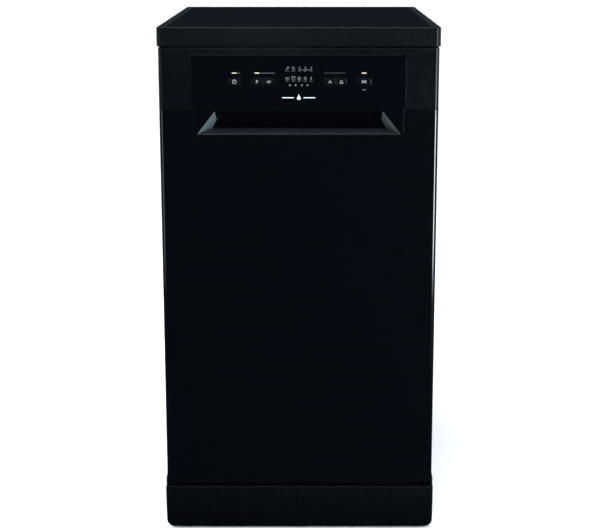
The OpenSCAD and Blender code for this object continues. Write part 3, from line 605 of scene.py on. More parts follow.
ink = finish("pale_ink", (0.055, 0.065, 0.075), (0.075, 0.087, 0.1), (0.5, 0.6), grain=2500)
bright_ink = finish("bright_ink", (0.42, 0.47, 0.5), (0.5, 0.55, 0.58), (0.45, 0.55), grain=2500)
column = [-18 + 9.4 * k for k in range(5)]
key_row = fascia_low.z / MM + 44.3
upper_row, lower_row = key_row + 21.2, key_row + 5.2
middle_x = {name: (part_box(name)[0].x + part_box(name)[1].x) / 2 / MM for name in buttons}
brush, lens, tick_1, tick_2, tick_3 = column
signs = []
# each row: start x, start z, end x, end z, width. First the brush, the lens and three ticks on a line
for x0, z0, x1, z1, width in ((brush - 2, -2, brush + 1.4, 1.6, 1.1),
                              (brush + 0.2, 2.3, brush + 2.4, 2.3, 0.55),
                              (brush + 2.2, 0, brush + 2.2, 2.2, 0.55),
                              (lens + 1.5, -1.4, lens + 2.9, -2.6, 0.55),
                              (tick_1, -2.3, tick_3 + 1, -2.3, 0.55)):
    signs.append(stroke((x0, upper_row + z0), (x1, upper_row + z1), width))
signs.append(loop(lens, upper_row + 0.4, 2.1))
for x in (tick_1, tick_2, tick_3):
    signs += [stroke((x, upper_row - 2), (x, upper_row + 2.4), 0.6),
              stroke((x, upper_row + 2.4), (x + 1.6, upper_row + 0.9), 0.6)]
# then rings: x, z, radius, corners, width, for the endless loop, pot, plates, glass and drop
endless, pot, plates, glass, spray = column
for x, z, radius, sides, width in ((endless - 1.5, 0, 1.7, 24, 0.5), (endless + 1.6, 0, 1.7, 24, 0.5),
                                   (pot, 0, 2.8, 24, 0.6), (plates, 0, 2.7, 24, 0.5),
                                   (plates, 0, 1.3, 24, 0.5),
                                   (glass, 0, 2.4, 6, 0.5), (spray, -0.4, 2, 3, 0.5)):
    signs.append(loop(x, lower_row + z, radius, sides, width))
signs += [stroke((pot - 3, lower_row + 2.9), (pot + 3, lower_row + 2.9)),
          stroke((glass, lower_row - 1.6), (glass, lower_row + 1.6)),
          stroke((spray, lower_row - 2), (spray, lower_row + 3))]
for x in column:
    for row in (upper_row, lower_row):
        signs.append(stroke((x - 2.6, row - 4.3), (x + 2.6, row - 4.3), 0.4))
# a dash under the start key, and faint pale lines beside the lit lamps, a painted glow of lamp light
# leaking along the light guides
start_x = middle_x["start_button"]
for x0, x1, z, width in ((start_x - 2.5, start_x + 2.5, -12.6, 0.8), (-107.5, -93, 13.7, 0.45),
                         (-70.5, -38.5, 13.7, 0.5), (40, 74, 13.7, 0.25)):
    signs.append(stroke((x0, key_row + z), (x1, key_row + z), width))
print_sheet = join("printed_signs", signs)
paint(print_sheet, ink)
seat(print_sheet, "door", "insert_gloss")

bare()
bpy.ops.mesh.primitive_circle_add(vertices=32, radius=3.1 * MM, fill_type="NGON",
                                  location=(0, ink_front, (key_row - 25.4) * MM),
                                  rotation=(math.radians(90), 0, 0))
drop = bpy.context.object
drop.name = "drop_mark"
bpy.ops.object.transform_apply(location=True, rotation=True, scale=True)
for narrow, lift in ((0.2, 3.4), (1.3, 1.5), (2.3, 0.5)):
    top = (key_row - 25.4 + 3.1 - narrow) * MM
    shift_edges(drop, lambda middle, way: middle.z > top, (0.55, 1, 1), (0, 0, lift * 0.5 * MM))
modify(drop, "SOLIDIFY", thickness=0.12 * MM, offset=0)
wave_left = stroke((-26, key_row - 25.4), (-8, key_row - 25.4), 1)
wave_right = stroke((8, key_row - 25.4), (26, key_row - 25.4), 1)
badge = join("drop_mark", [drop, wave_left, wave_right])
paint(badge, bright_ink)
seat(badge, "door", "insert_gloss")

key_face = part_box("power_button")[0].y + 0.1 * MM - insert_low.y
# strokes on the keys, from a key's middle: start x, start z, end x, end z, width
key_strokes = {
    "power_button": [(0, -0.2, 0, 2.2, 0.9)],
    "program_button": [(-1.2, -2.4, -1.2, 2.4, 0.9)],
    "option_button": [(-3, k, 3, k, 0.5) for k in (-1.4, 0, 1.4)],
    "delay_button": [(-2.4, -2.2, 0, 2.2, 0.7), (0, 2.2, 2.4, -2.2, 0.7)],
    "half_load_button": [(-2.8, -2.6, 2.8, -2.6, 0.7)],
    "start_button": [(-2.8, -2.2, -2.8, 2.2, 0.9), (-2.6, 2.2, 2.6, -2.2, 0.9), (-2.6, -2.2, 2.6, 2.2, 0.9),
                     (2.8, -2.2, 2.8, 2.2, 0.9)],
}
# rings on the keys: x, z, radius, corners, width
key_rings = {"power_button": (0, 0, 3.4, 24, 0.7), "program_button": (0.3, 0.9, 1.6, 24, 0.7),
             "delay_button": (0, -0.6, 1.2, 24, 0.5), "half_load_button": (0, -0.3, 2.6, 6, 0.7)}
key_ink = finish("key_ink", (0.11, 0.122, 0.135), (0.145, 0.158, 0.172), (0.5, 0.6), grain=2500)
for name in buttons:
    middle = middle_x[name]
    marks = [stroke((middle + x0, key_row + z0), (middle + x1, key_row + z1), width, key_face)
             for x0, z0, x1, z1, width in key_strokes[name]]
    if name in key_rings:
        x, z, radius, sides, width = key_rings[name]
        marks.append(loop(middle + x, key_row + z, radius, sides, width, key_face))
    sign = join(name + "_sign", marks)
    paint(sign, key_ink)
    seat(sign, name, "button_gloss")


# ---- Indicator lamps ----
# Clear light guides lead from the board's lamps to the plate. The three short bars glow warm white,
# and the four round ones under the programs are dark.

def paint_nodes(material, *names):
    for name in names:
        paint(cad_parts[name], material)


glow = finish("lamp_glow", (0.09, 0.088, 0.08), (0.12, 0.115, 0.105), (0.25, 0.35), grain=1500)
nodes, links = glow.node_tree.nodes, glow.node_tree.links
spot_at = nodes.new("ShaderNodeTexCoord")
height = nodes.new("ShaderNodeSeparateXYZ")
lit = nodes.new("ShaderNodeMapRange")
lit.inputs["From Min"].default_value = (key_row + 5) * MM
lit.inputs["From Max"].default_value = (key_row + 10) * MM
lit.inputs["To Min"].default_value = 0.0
lit.inputs["To Max"].default_value = 0.95
links.new(spot_at.outputs["Object"], height.inputs["Vector"])
links.new(height.outputs["Z"], lit.inputs["Value"])
links.new(lit.outputs["Result"], nodes["Principled BSDF"].inputs["Emission Strength"])
nodes["Principled BSDF"].inputs["Emission Color"].default_value = (1, 0.82, 0.5, 1)
paint_nodes(glow, "indicator_lenses")


# ---- Door liner ----
# The inside of the door is drawn from brushed stainless steel: a deep tray with round edges and two
# sunk fields, a flat flange around it, and two raised tracks that carry the lower rack's wheels.

def brushed(name, colour, fleck, rough, stretch):
    return finish(name, colour, fleck, rough, grain=420, bumps=0.000001, stretch=stretch, Metallic=1)


liner_steel = brushed("liner_steel", (0.5, 0.51, 0.52), (0.56, 0.57, 0.58), (0.27, 0.31), (5, 5, 0.06))
low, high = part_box("door_inner_panel")
track = 4 * MM
tray_back = high.y - track
tray_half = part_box("hinge_arms")[1].x - 2.7 * MM
tray_top = high.z - 12 * MM
dispenser_low, dispenser_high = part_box("dispenser_body")
dispenser_z = (dispenser_low.z + dispenser_high.z) / 2
liner = block("door_liner", (-tray_half, low.y, low.z), (tray_half, tray_back, tray_top))
for level in (low.z + 26 * MM, dispenser_z - 75 * MM, dispenser_z + 75 * MM, tray_top - 34 * MM):
    cut_line(liner, (0, 0, level), (0, 0, 1))
for side in (-1, 1):
    cut_line(liner, (side * (tray_half - 36 * MM), 0, 0), (1, 0, 0))


def field(middle, normal):
    inside = abs(middle.x) < 0.1 and normal.y > 0.9
    return inside and (low.z + 26 * MM < middle.z < dispenser_z - 75 * MM
                       or dispenser_z + 75 * MM < middle.z < tray_top - 34 * MM)


sink(liner, field, (5 * MM, -2 * MM))
round_edges(liner, 5 * MM, 5,
            lambda middle, way: middle.y > tray_back - 0.1 * MM and ( abs(middle.x) > tray_half - 0.1 * MM
                or middle.z > tray_top - 0.1 * MM or middle.z < low.z + 0.1 * MM))
open_up(liner, lambda middle, normal: normal.y < -0.9)
modify(liner, "SOLIDIFY", thickness=1 * MM, offset=-1)
carve(liner, block("well", (-73 * MM, tray_back - 3 * MM, dispenser_low.z + 2 * MM),
                   (73 * MM, tray_back + MM, dispenser_high.z - 2 * MM)))
carve(liner, block("strike_slot", (-9 * MM, low.y + 2 * MM, tray_top - 14 * MM),
                   (9 * MM, tray_back + MM, tray_top + MM)))
soften(liner, 0.5 * MM, 2, 25)
flange = block("flange", (low.x, low.y, low.z), (high.x, low.y + MM, high.z))
carve(flange, block("opening", (-tray_half + 0.5 * MM, low.y - MM, low.z - MM),
                    (tray_half - 0.5 * MM, low.y + 2 * MM, tray_top - 0.5 * MM)))
for side in (-1, 1):
    carve(flange, block("arm_slot", (min(side * tray_half, side * (tray_half + 3 * MM)), low.y - MM,
                                     low.z - MM),
                        (max(side * tray_half, side * (tray_half + 3 * MM)), low.y + 2 * MM, 262 * MM)))
soften(flange, 0.3 * MM, 1, 30)
rails = []
for side in (-1, 1):
    inner, outer = sorted((side * (tray_half - 25 * MM), side * (tray_half - 9 * MM)))
    rail = block("track", (inner, tray_back - 0.5 * MM, 112 * MM), (outer, high.y, 300 * MM))
    round_edges(rail, 2.5 * MM, 4, lambda middle, way: middle.y > high.y - 0.1 * MM)
    soften(rail, 0.3 * MM, 1, 40)
    rails.append(rail)
liner = join("door_liner", [liner, flange] + rails)
paint(liner, liner_steel)
seat(liner, "door", "tub_steel", "door_inner_panel")


# ---- Tub ----
# The wash chamber is welded from thin stainless steel. Its upper corners are round, and a shallow
# field is pressed outwards in each wall, which keeps the sheet from ringing.

tub_steel = brushed("tub_steel", (0.48, 0.49, 0.5), (0.54, 0.55, 0.56), (0.27, 0.3), (5, 0.06, 5))
low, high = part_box("tub_shell")
shell_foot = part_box("tub_floor")[1].z
tub = block("tub", (low.x, low.y, shell_foot), high)
sink(tub, lambda middle, normal: abs(normal.x) > 0.9, (42 * MM, 0), each=True)
sink(tub,
     lambda middle, normal: abs(normal.x) > 0.9 and abs(middle.z - 0.47) < 0.1
         and abs(middle.y - (low.y + high.y) / 2) < 0.02,
     (6 * MM, 1.2 * MM), each=True)
sink(tub, lambda middle, normal: normal.y > 0.9, (50 * MM, 0), (6 * MM, 1.2 * MM))
sink(tub, lambda middle, normal: normal.z > 0.9, (50 * MM, 0), (6 * MM, 1.2 * MM))
round_edges(tub, 25 * MM, 8,
            lambda middle, way: way.y > 0.9 and middle.z > high.z - 0.1 * MM
                and abs(middle.x) > high.x - MM)
open_up(tub, lambda middle, normal: normal.y < -0.9 or normal.z < -0.9)
modify(tub, "SOLIDIFY", thickness=1 * MM, offset=-1)
soften(tub, 0.3 * MM, 1, 30)
foot_plate = block("foot_plate", (low.x + 24 * MM, high.y - MM, low.z),
                   (high.x - 24 * MM, high.y, shell_foot + MM))
soften(foot_plate, 0.3 * MM, 1)
tub = join("tub", [tub, foot_plate])
paint(tub, tub_steel)
seat(tub, "cabinet", "tub_steel", "tub_shell")
floor_steel = brushed("floor_steel", (0.45, 0.46, 0.47), (0.53, 0.54, 0.55), (0.26, 0.34), (5, 0.08, 5))
paint_nodes(floor_steel, "tub_floor")


# ---- Front frame ----
# A pressed steel frame around the tub's mouth, enamelled like the sides and welded to the tub.
# The seal is pressed onto it, and the door closes against both.

paint_nodes(black_enamel, "front_frame")


# ---- Door seal ----
# A bulb seal of black rubber runs up one side of the tub's mouth, across the top and down the other.
# It was extruded in one length and pressed into the frame.

def round_bar(places, radius, sides):
    """A round bar through the places, with closed ends."""
    bare()
    bpy.ops.object.add(type="CURVE")
    shape = bpy.context.object.data
    shape.dimensions = "3D"
    line = shape.splines.new("POLY")
    line.points.add(len(places) - 1)
    for point, place in zip(line.points, places):
        point.co = (*place, 1)
    shape.bevel_depth = radius
    shape.bevel_resolution = sides
    shape.use_fill_caps = True
    bpy.ops.object.convert(target="MESH")
    return bpy.context.object


def bent_wire(points, radius, bend=0.0, sides=1):
    """A round wire through the points, its corners bent to a radius and its ends closed."""
    path = [Vector(point) for point in points]
    places = [path[0]]
    for before, corner, after in zip(path, path[1:], path[2:]):
        start = corner + (before - corner).normalized() * bend
        end = corner + (after - corner).normalized() * bend
        for step in range(6):
            share = step / 5
            places.append(start * (1 - share) ** 2 + corner * 2 * share * (1 - share) + end * share ** 2)
    places.append(path[-1])
    wire = round_bar(places, radius, sides)
    bpy.ops.object.shade_smooth_by_angle(angle=math.radians(50))
    return wire


low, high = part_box("door_gasket")
bulb = 3.3 * MM
bulb_y = (low.y + high.y) / 2 - 0.4 * MM
seal_path = [(low.x + bulb + 0.1 * MM, bulb_y, low.z), (low.x + bulb + 0.1 * MM, bulb_y, high.z - bulb),
             (high.x - bulb - 0.1 * MM, bulb_y, high.z - bulb), (high.x - bulb - 0.1 * MM, bulb_y, low.z)]
base_path = [(x, high.y - 1.6 * MM, z) for x, y, z in seal_path]
seal = join("door_seal", [bent_wire(seal_path, bulb, 9 * MM, 4),
                          bent_wire(base_path, 1.6 * MM, 9 * MM, 2)])
rubber = finish("seal_rubber", (0.012, 0.012, 0.013), (0.02, 0.02, 0.021), (0.6, 0.75), grain=1600,
                bumps=0.00003, Specular_IOR_Level=0.3)
paint(seal, rubber)
seat(seal, "cabinet", "seal_rubber", "door_gasket")


# ---- Lower rack ----
# Bent steel wires are welded into a basket and dipped in grey nylon. Two rows of tines hold plates,
# and an axle stub at each lower corner carries a wheel.

def repeat(piece, count, step):
    """Sets copies of the piece in a row, each a step further."""
    modify(piece, "ARRAY", count=count, use_relative_offset=False, use_constant_offset=True,
           constant_offset_displace=step)
    return piece


def rod(start, end, radius, sides=16):
    """A round bar between two places, its ends rounded."""
    start, end = Vector(start), Vector(end)
    bare()
    bpy.ops.mesh.primitive_cylinder_add(vertices=sides, radius=radius, depth=(end - start).length,
                                        location=(start + end) / 2,
                                        rotation=(end - start).to_track_quat("Z", "Y").to_euler())
    bar = bpy.context.object
    bpy.ops.object.transform_apply(location=True, rotation=True, scale=True)
    modify(bar, "BEVEL", width=radius * 0.35, segments=2, limit_method="ANGLE")
    smooth(bar, 40)
    return bar


def wire_rack(low, high, floor_top, across, along, thin, thick):
    """The wires of a rack between two corners: U shaped wires both ways, and two closed rails."""
    left, right, near, far = low.x + thin, high.x - thin, low.y + thin, high.y - thin
    bottom, rim = floor_top - thin, high.z - thick
    cross = bent_wire([(left, near, rim), (left, near, bottom), (right, near, bottom),
                                (right, near, rim)], thin, 10 * MM)
    long = bent_wire([(left, near, rim), (left, near, bottom), (left, far, bottom),
                              (left, far, rim)], thin, 10 * MM)
    parts = [repeat(cross, across, (0, (far - near) / (across - 1), 0)),
             repeat(long, along, ((right - left) / (along - 1), 0, 0))]
    for level, radius in ((rim, thick), ((rim + bottom) / 2, thin)):
        middle = (left + right) / 2
        parts.append(bent_wire([(middle, near, level), (right, near, level), (right, far, level),
                                        (left, far, level), (left, near, level), (middle, near, level)],
                               radius, 10 * MM, 2))
    return parts


low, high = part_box("lower_rack")
basket_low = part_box("cutlery_basket")[0]
rack_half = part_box("lower_rack_wheels_front")[1].x - 9.3 * MM
rack_front = low.y
rack_floor = basket_low.z - 0.2 * MM
rack_low, rack_high = Vector((-rack_half, rack_front, low.z)), Vector((rack_half, high.y, high.z))
parts = wire_rack(rack_low, rack_high, rack_floor, 16, 13, 1.8 * MM, 2.4 * MM)
for x in (-110, -20):
    tine = bent_wire([(x * MM, rack_front + 52 * MM, rack_floor - 2 * MM),
                              (x * MM, rack_front + 52 * MM, rack_floor + 52 * MM),
                              (x * MM + 5 * MM, rack_front + 52 * MM,
                               rack_floor + 74 * MM)], 1.6 * MM, 8 * MM)
    parts.append(repeat(tine, 13, (0, 30 * MM, 0)))
for name in ("lower_rack_wheels_front", "lower_rack_wheels_rear"):
    wheel_low, wheel_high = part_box(name)
    axle_y, axle_z = (wheel_low.y + wheel_high.y) / 2, (wheel_low.z + wheel_high.z) / 2
    for side in (-1, 1):
        x0, x1 = sorted((side * (rack_half - 4 * MM), side * rack_half))
        plate = block("bracket", (x0, axle_y - 12 * MM, axle_z - 6 * MM),
                      (x1, axle_y + 12 * MM, rack_floor - 3 * MM))
        soften(plate, 1 * MM, 2)
        parts += [plate, rod((side * (rack_half - 1 * MM), axle_y, axle_z),
                             (side * (wheel_high.x + 0.8 * MM), axle_y, axle_z), 3 * MM)]
rack = join("lower_wire_rack", parts)
nylon = finish("grey_nylon", (0.2, 0.212, 0.225), (0.25, 0.262, 0.276), (0.32, 0.42), grain=900,
               bumps=0.00004,
               Specular_IOR_Level=0.5)
paint(rack, nylon)
seat(rack, "lower_rack", "rack_coating", "lower_rack")


# ---- Rack wheels ----
# Four moulded wheels of grey plastic clip onto the axle stubs. Each has a sunk face, a hub and a
# round tread, and rolls in the tub and on the tracks of the open door.

wheel_plastic = finish("wheel_plastic", (0.045, 0.05, 0.057), (0.06, 0.066, 0.074), (0.4, 0.5), grain=800,
                       bumps=0.00003)
for name, body in (("lower_rack_wheels_front", "wheels_front"), ("lower_rack_wheels_rear", "wheels_rear")):
    low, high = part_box(name)
    middle_y, middle_z, radius = (low.y + high.y) / 2, (low.z + high.z) / 2, (high.z - low.z) / 2
    pair = []
    for side in (-1, 1):
        wheel = drum(radius, 7 * MM, (side * (high.x - 3.5 * MM), middle_y, middle_z), axis="X")
        pick_faces(wheel, lambda middle, normal: abs(normal.x) > 0.9)
        bpy.ops.mesh.inset(thickness=3 * MM)
        bpy.ops.mesh.inset(thickness=0.4 * MM, depth=-2 * MM)
        bpy.ops.mesh.inset(thickness=5.6 * MM)
        bpy.ops.mesh.inset(thickness=0.3 * MM, depth=1.6 * MM)
        bpy.ops.mesh.inset(thickness=radius - 12.36 * MM)
        bpy.ops.mesh.bridge_edge_loops()
        leave()
        soften(wheel, 0.6 * MM, 2, 40)
        pair.append(wheel)
    wheels = join(name, pair)
    wheels.name = body.replace("wheels", "rack_wheels")
    paint(wheels, wheel_plastic)
    seat(wheels, body, "wash_plastic", name)


# ---- Cutlery basket ----
# A moulded basket of grey polypropylene with window walls and six cells. Its arched handle stands
# in the middle, and it lifts straight out of the rack.

low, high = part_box("cutlery_basket")
body_top = high.z - 49 * MM
basket = block("cutlery", low, (high.x, high.y, body_top))
for k in range(1, 4):
    cut_line(basket, (low.x + (high.x - low.x) * k / 4, 0, 0), (1, 0, 0))
for k in range(1, 12):
    cut_line(basket, (0, low.y + (high.y - low.y) * k / 12, 0), (0, 1, 0))
for k in range(1, 5):
    cut_line(basket, (0, 0, low.z + (body_top - low.z) * k / 5), (0, 0, 1))
pick_faces(basket, lambda middle, normal: abs(normal.z) < 0.5)
bpy.ops.mesh.inset(thickness=3 * MM, use_individual=True)
bpy.ops.mesh.delete(type="FACE")
leave()
pick_faces(basket, lambda middle, normal: normal.z < -0.5)
bpy.ops.mesh.inset(thickness=4 * MM, use_individual=True)
bpy.ops.mesh.delete(type="FACE")
leave()
open_up(basket, lambda middle, normal: normal.z > 0.5)
modify(basket, "SOLIDIFY", thickness=2.2 * MM, offset=-1)
soften(basket, 0.4 * MM, 1, 40)
cells = [basket]
middle_x_basket = (low.x + high.x) / 2
cells.append(block("wall", (middle_x_basket - 0.9 * MM, low.y + 2 * MM, low.z + MM),
                   (middle_x_basket + 0.9 * MM, high.y - 2 * MM, body_top - 2 * MM)))
for k in (1, 2):
    wall_y = low.y + (high.y - low.y) * k / 3
    cells.append(block("wall", (low.x + 2 * MM, wall_y - 0.9 * MM, low.z + MM),
                       (high.x - 2 * MM, wall_y + 0.9 * MM, body_top - 2 * MM)))
for wall in cells[1:]:
    soften(wall, 0.4 * MM, 2)
arch = bent_wire([(middle_x_basket, low.y + 54 * MM, body_top - 20 * MM),
                          (middle_x_basket, low.y + 54 * MM, high.z - 4 * MM),
                          (middle_x_basket, high.y - 54 * MM, high.z - 4 * MM),
                          (middle_x_basket, high.y - 54 * MM, body_top - 20 * MM)], 4 * MM, 16 * MM, 3)
basket = join("cutlery", cells + [arch])
paint(basket, finish("basket_grey", (0.1, 0.108, 0.12), (0.13, 0.14, 0.155), (0.42, 0.52), grain=700,
                     bumps=0.00004))
seat(basket, "cutlery_basket", "basket_plastic", "cutlery_basket")


# ---- Upper rack ----
# The upper basket is bent and dipped like the lower one. A runner at each side slides in the rail,
# and clips under its floor hold the feed pipe.

low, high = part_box("upper_rack")
rail_low, rail_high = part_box("upper_rails")
upper_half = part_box("tub_floor")[1].x - 19 * MM
parts = wire_rack(Vector((-upper_half, low.y, low.z)), Vector((upper_half, high.y, high.z)),
                  low.z + 4 * MM, 15, 12, 1.8 * MM, 2.3 * MM)
for side in (-1, 1):
    x0, x1 = sorted((side * (upper_half - MM), side * (rail_high.x - 2.5 * MM)))
    runner = block("runner", (x0, low.y, rail_low.z + 3 * MM), (x1, high.y, rail_high.z - 3 * MM))
    sink(runner, lambda middle, normal: normal.x * side < -0.9, (3 * MM, -1.2 * MM))
    soften(runner, 1.2 * MM, 3)
    parts.append(runner)
for x in (-62, 62):
    tine = bent_wire([(x * MM, low.y + 45 * MM, low.z + 2 * MM), (x * MM, low.y + 45 * MM, low.z + 40 * MM),
                              (x * MM + 5 * MM, low.y + 45 * MM, low.z + 58 * MM)], 1.6 * MM, 7 * MM)
    parts.append(repeat(tine, 12, (0, 32 * MM, 0)))
upper = join("upper_wire_rack", parts)
paint(upper, nylon)
seat(upper, "upper_rack", "rack_coating", "upper_rack")
zinc = finish("zinc_steel", (0.44, 0.46, 0.48), (0.54, 0.56, 0.58), (0.32, 0.42), grain=160, bumps=0.00001,
              kind="cells", Metallic=1)
paint_nodes(zinc, "upper_rails")


# ---- Cup shelf ----
# A small shelf of steel wire, dipped in grey nylon like the racks. It is clipped to the upper
# rack's side and folds up about its thick rod.

low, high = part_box("cup_shelf")
rod_x = low.x + 2.5 * MM
rod_z = (low.z + high.z) / 2
shelf_near, shelf_far = low.y + 11.5 * MM, high.y - 11.5 * MM
rung = bent_wire([(rod_x, shelf_near, rod_z), (high.x - 1.5 * MM, shelf_near, rod_z)], 1.4 * MM)
outline = bent_wire([(rod_x, shelf_near, rod_z), (high.x - 1.5 * MM, shelf_near, rod_z),
                                (high.x - 1.5 * MM, shelf_far, rod_z), (rod_x, shelf_far, rod_z)],
                    1.5 * MM, 8 * MM, 2)
line = bent_wire([(rod_x + 28 * MM, shelf_near, rod_z), (rod_x + 28 * MM, shelf_far, rod_z)], 1.4 * MM)
shelf = join("cup_wire_shelf", [repeat(rung, 12, (0, (shelf_far - shelf_near) / 11, 0)), outline,
                                repeat(line, 2, (28 * MM, 0, 0)),
                                rod((rod_x, low.y, rod_z), (rod_x, high.y, rod_z), 2.5 * MM)])
paint(shelf, nylon)
seat(shelf, "cup_shelf", "rack_coating", "cup_shelf")


# ---- Spray arms ----
# Each arm is two moulded halves welded into a flat hollow blade. It turns on a post or a stub, and
# water leaves through a row of small nozzles.

arm_plastic = finish("arm_plastic", (0.19, 0.2, 0.215), (0.24, 0.25, 0.27), (0.35, 0.45), grain=700,
                     bumps=0.00003)


def nozzle(x, y, z, up):
    """A short round nozzle with a sunk hole."""
    jet = drum(3.2 * MM, 1.6 * MM, (x, y, z), 20)
    sink(jet, lambda middle, normal: normal.z * up > 0.9, (1.5 * MM, 0), (0.3 * MM, -1.2 * MM))
    soften(jet, 0.25 * MM, 1)
    return jet


for node, body in (("lower_wash_arm", "lower_arm"), ("upper_wash_arm", "upper_arm")):
    low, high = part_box(node)
    middle_y = (low.y + high.y) / 2
    bottom, top = low.z + 1.5 * MM, high.z - 5.5 * MM
    half = high.x
    blade = block("blade", (-half, middle_y - 19.5 * MM, bottom), (half, middle_y + 19.5 * MM, top))
    for side in (-1, 1):
        cut_line(blade, (side * 26 * MM, 0, 0), (1, 0, 0))
        pick_faces(blade, lambda middle, normal: normal.x * side > 0.9)
        bpy.ops.transform.resize(value=(1, 0.58, 0.7))
        leave()
        round_edges(blade, 9 * MM, 6, lambda middle, way: way.z > 0.9 and middle.x * side > half - MM)
    soften(blade, 2.6 * MM, 4, 25)
    centre = (0, middle_y, (low.z + high.z) / 2)
    hub = drum(20 * MM, high.z - low.z, centre)
    soften(hub, 2.5 * MM, 3)
    carve(blade, hub, "UNION")
    carve(blade, drum(9.06 * MM, 40 * MM, centre))
    smooth(blade, 35)
    jets = []
    for share in (0.3, 0.45, 0.6, 0.74, 0.88):
        for side in (-1, 1):
            jets.append(nozzle(side * half * share, middle_y + side * (6 - 5 * share) * MM, top + 0.2 * MM
                               - 1.6 * MM * share, 1))
    arm = join(body.replace("_", "_spray_"), [blade] + jets)
    paint(arm, arm_plastic)
    seat(arm, body, "wash_plastic", node)


# ---- Detergent dispenser ----
# A moulded box let into the door liner. A lid with a round-edged tray springs open about its lower
# edge, and beside it a cap closes the rinse aid tank.

low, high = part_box("dispenser_body")
lid_low, lid_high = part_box("dispenser_lid")
cap_low, cap_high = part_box("rinse_aid_cap")
face_back = tray_back + 3 * MM
holder = block("dispenser", (low.x, tray_back, low.z), (high.x, face_back, high.z))
round_edges(holder, 9 * MM, 6, lambda middle, way: way.y > 0.9)
soften(holder, 1 * MM, 3, 50)
case = block("case", (low.x + 3 * MM, low.y, low.z + 3 * MM),
             (high.x - 3 * MM, tray_back + MM, high.z - 3 * MM))
carve(holder, case, "UNION")
lid_x = (lid_low.x + lid_high.x) / 2
cup = block("cup", (lid_x - 36 * MM, tray_back - 16 * MM, lid_low.z + 2 * MM),
            (lid_x + 36 * MM, face_back + MM, lid_high.z - 2 * MM))
round_edges(cup, 6 * MM, 5, lambda middle, way: way.y > 0.9 or middle.y < tray_back - 15 * MM)
carve(holder, cup)
cap_x, cap_z = (cap_low.x + cap_high.x) / 2, (cap_low.z + cap_high.z) / 2
carve(holder, drum(12.06 * MM, 16 * MM, (cap_x, tray_back - 4 * MM, cap_z), axis="Y"))
smooth(holder, 30)
axis_y, axis_z = tray_back + 6 * MM, dispenser_z - 41 * MM
hinge = [holder, rod((lid_x - 33 * MM, axis_y, axis_z), (lid_x + 33 * MM, axis_y, axis_z), 1.2 * MM)]
for x in (lid_x - 36 * MM, lid_x + 31 * MM):
    ear = block("ear", (x, tray_back + 2 * MM, axis_z - 2.5 * MM),
                (x + 5 * MM, tray_back + 8.5 * MM, axis_z + 2.5 * MM))
    soften(ear, 0.8 * MM, 2)
    hinge.append(ear)
holder = join("dispenser", hinge)
tray_plastic = finish("dispenser_plastic", (0.33, 0.35, 0.37), (0.4, 0.42, 0.44), (0.36, 0.46), grain=900,
                      bumps=0.00003)
paint(holder, tray_plastic)
seat(holder, "door", "basket_plastic", "dispenser_body")

lid = block("soap_lid", (lid_low.x, tray_back + 3.2 * MM, dispenser_z - 37 * MM),
            (lid_high.x, tray_back + 6.2 * MM, lid_high.z))
round_edges(lid, 7 * MM, 6, lambda middle, way: way.y > 0.9)
sink(lid, lambda middle, normal: normal.y > 0.9, (6 * MM, 0), (1.5 * MM, -0.8 * MM))
soften(lid, 0.6 * MM, 2, 30)
tongue = block("tongue", (lid_x - 30 * MM, tray_back + 3.6 * MM, dispenser_z - 41 * MM),
               (lid_x + 30 * MM, tray_back + 6.2 * MM, dispenser_z - 36 * MM))
soften(tongue, 0.5 * MM, 2)
barrel_parts = []
for x in (lid_x - 30.5 * MM, lid_x + 12 * MM):
    barrel_parts.append(rod((x, axis_y, axis_z), (x + 18.5 * MM, axis_y, axis_z), 2.4 * MM, 24))
grip = block("grip", (lid_x - 12 * MM, tray_back + 5.2 * MM, lid_high.z - 12 * MM),
             (lid_x + 12 * MM, tray_back + 6.2 * MM, lid_high.z - 4 * MM))
sink(grip, lambda middle, normal: normal.y > 0.9, (1.5 * MM, -0.6 * MM))
soften(grip, 0.3 * MM, 1)
lid = join("soap_lid", [lid, tongue, grip] + barrel_parts)
paint(lid, finish("lid_plastic", (0.25, 0.265, 0.285), (0.31, 0.325, 0.345), (0.3, 0.4), grain=900,
                  bumps=0.00003))
seat(lid, "dispenser_lid", "basket_plastic", "dispenser_lid")

cap = drum(20 * MM, 4.8 * MM, (cap_x, tray_back + 5.6 * MM, cap_z), 60, "Y")
sink(cap,
     lambda middle, normal: abs(normal.y) < 0.1
         and round(math.degrees( math.atan2(normal.z, normal.x)) / 6 + 0.5) % 2 == 0,
     (0.6 * MM, -0.6 * MM), each=True)
sink(cap, lambda middle, normal: normal.y > 0.9, (3 * MM, 0), (1 * MM, -0.8 * MM))
soften(cap, 0.18 * MM, 1, 40)
neck = rod((cap_x, cap_low.y, cap_z), (cap_x, tray_back + 4 * MM, cap_z), 12 * MM, 48)
wing = block("wing", (cap_x - 16 * MM, tray_back + 7 * MM, cap_z - 2 * MM),
             (cap_x + 16 * MM, cap_high.y, cap_z + 2 * MM))
soften(wing, 1.2 * MM, 3)
cap = join("rinse_cap", [cap, neck, wing])
paint(cap, finish("cap_plastic", (0.03, 0.034, 0.04), (0.042, 0.047, 0.055), (0.35, 0.45), grain=900,
                  bumps=0.00003))
seat(cap, "rinse_cap", "wash_plastic", "rinse_aid_cap")


# ---- Rear panel ----
# A sheet of galvanised steel closes the back. Three long ribs are pressed out of it for stiffness,
# and the inlet and drain spigots come out in the open strip below it.

low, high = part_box("rear_panel")
sheet_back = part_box("side_panel_left")[1].y + 0.8 * MM
back = block("rear_sheet", (low.x, low.y, low.z), (high.x, sheet_back, high.z))
rib_step = (high.z - low.z) / 4
rib_half = high.x - 59 * MM
for k in (1, 2, 3):
    for level in (low.z + k * rib_step, low.z + k * rib_step + 14 * MM):
        cut_line(back, (0, 0, level), (0, 0, 1))
for side in (-1, 1):
    cut_line(back, (side * rib_half, 0, 0), (1, 0, 0))


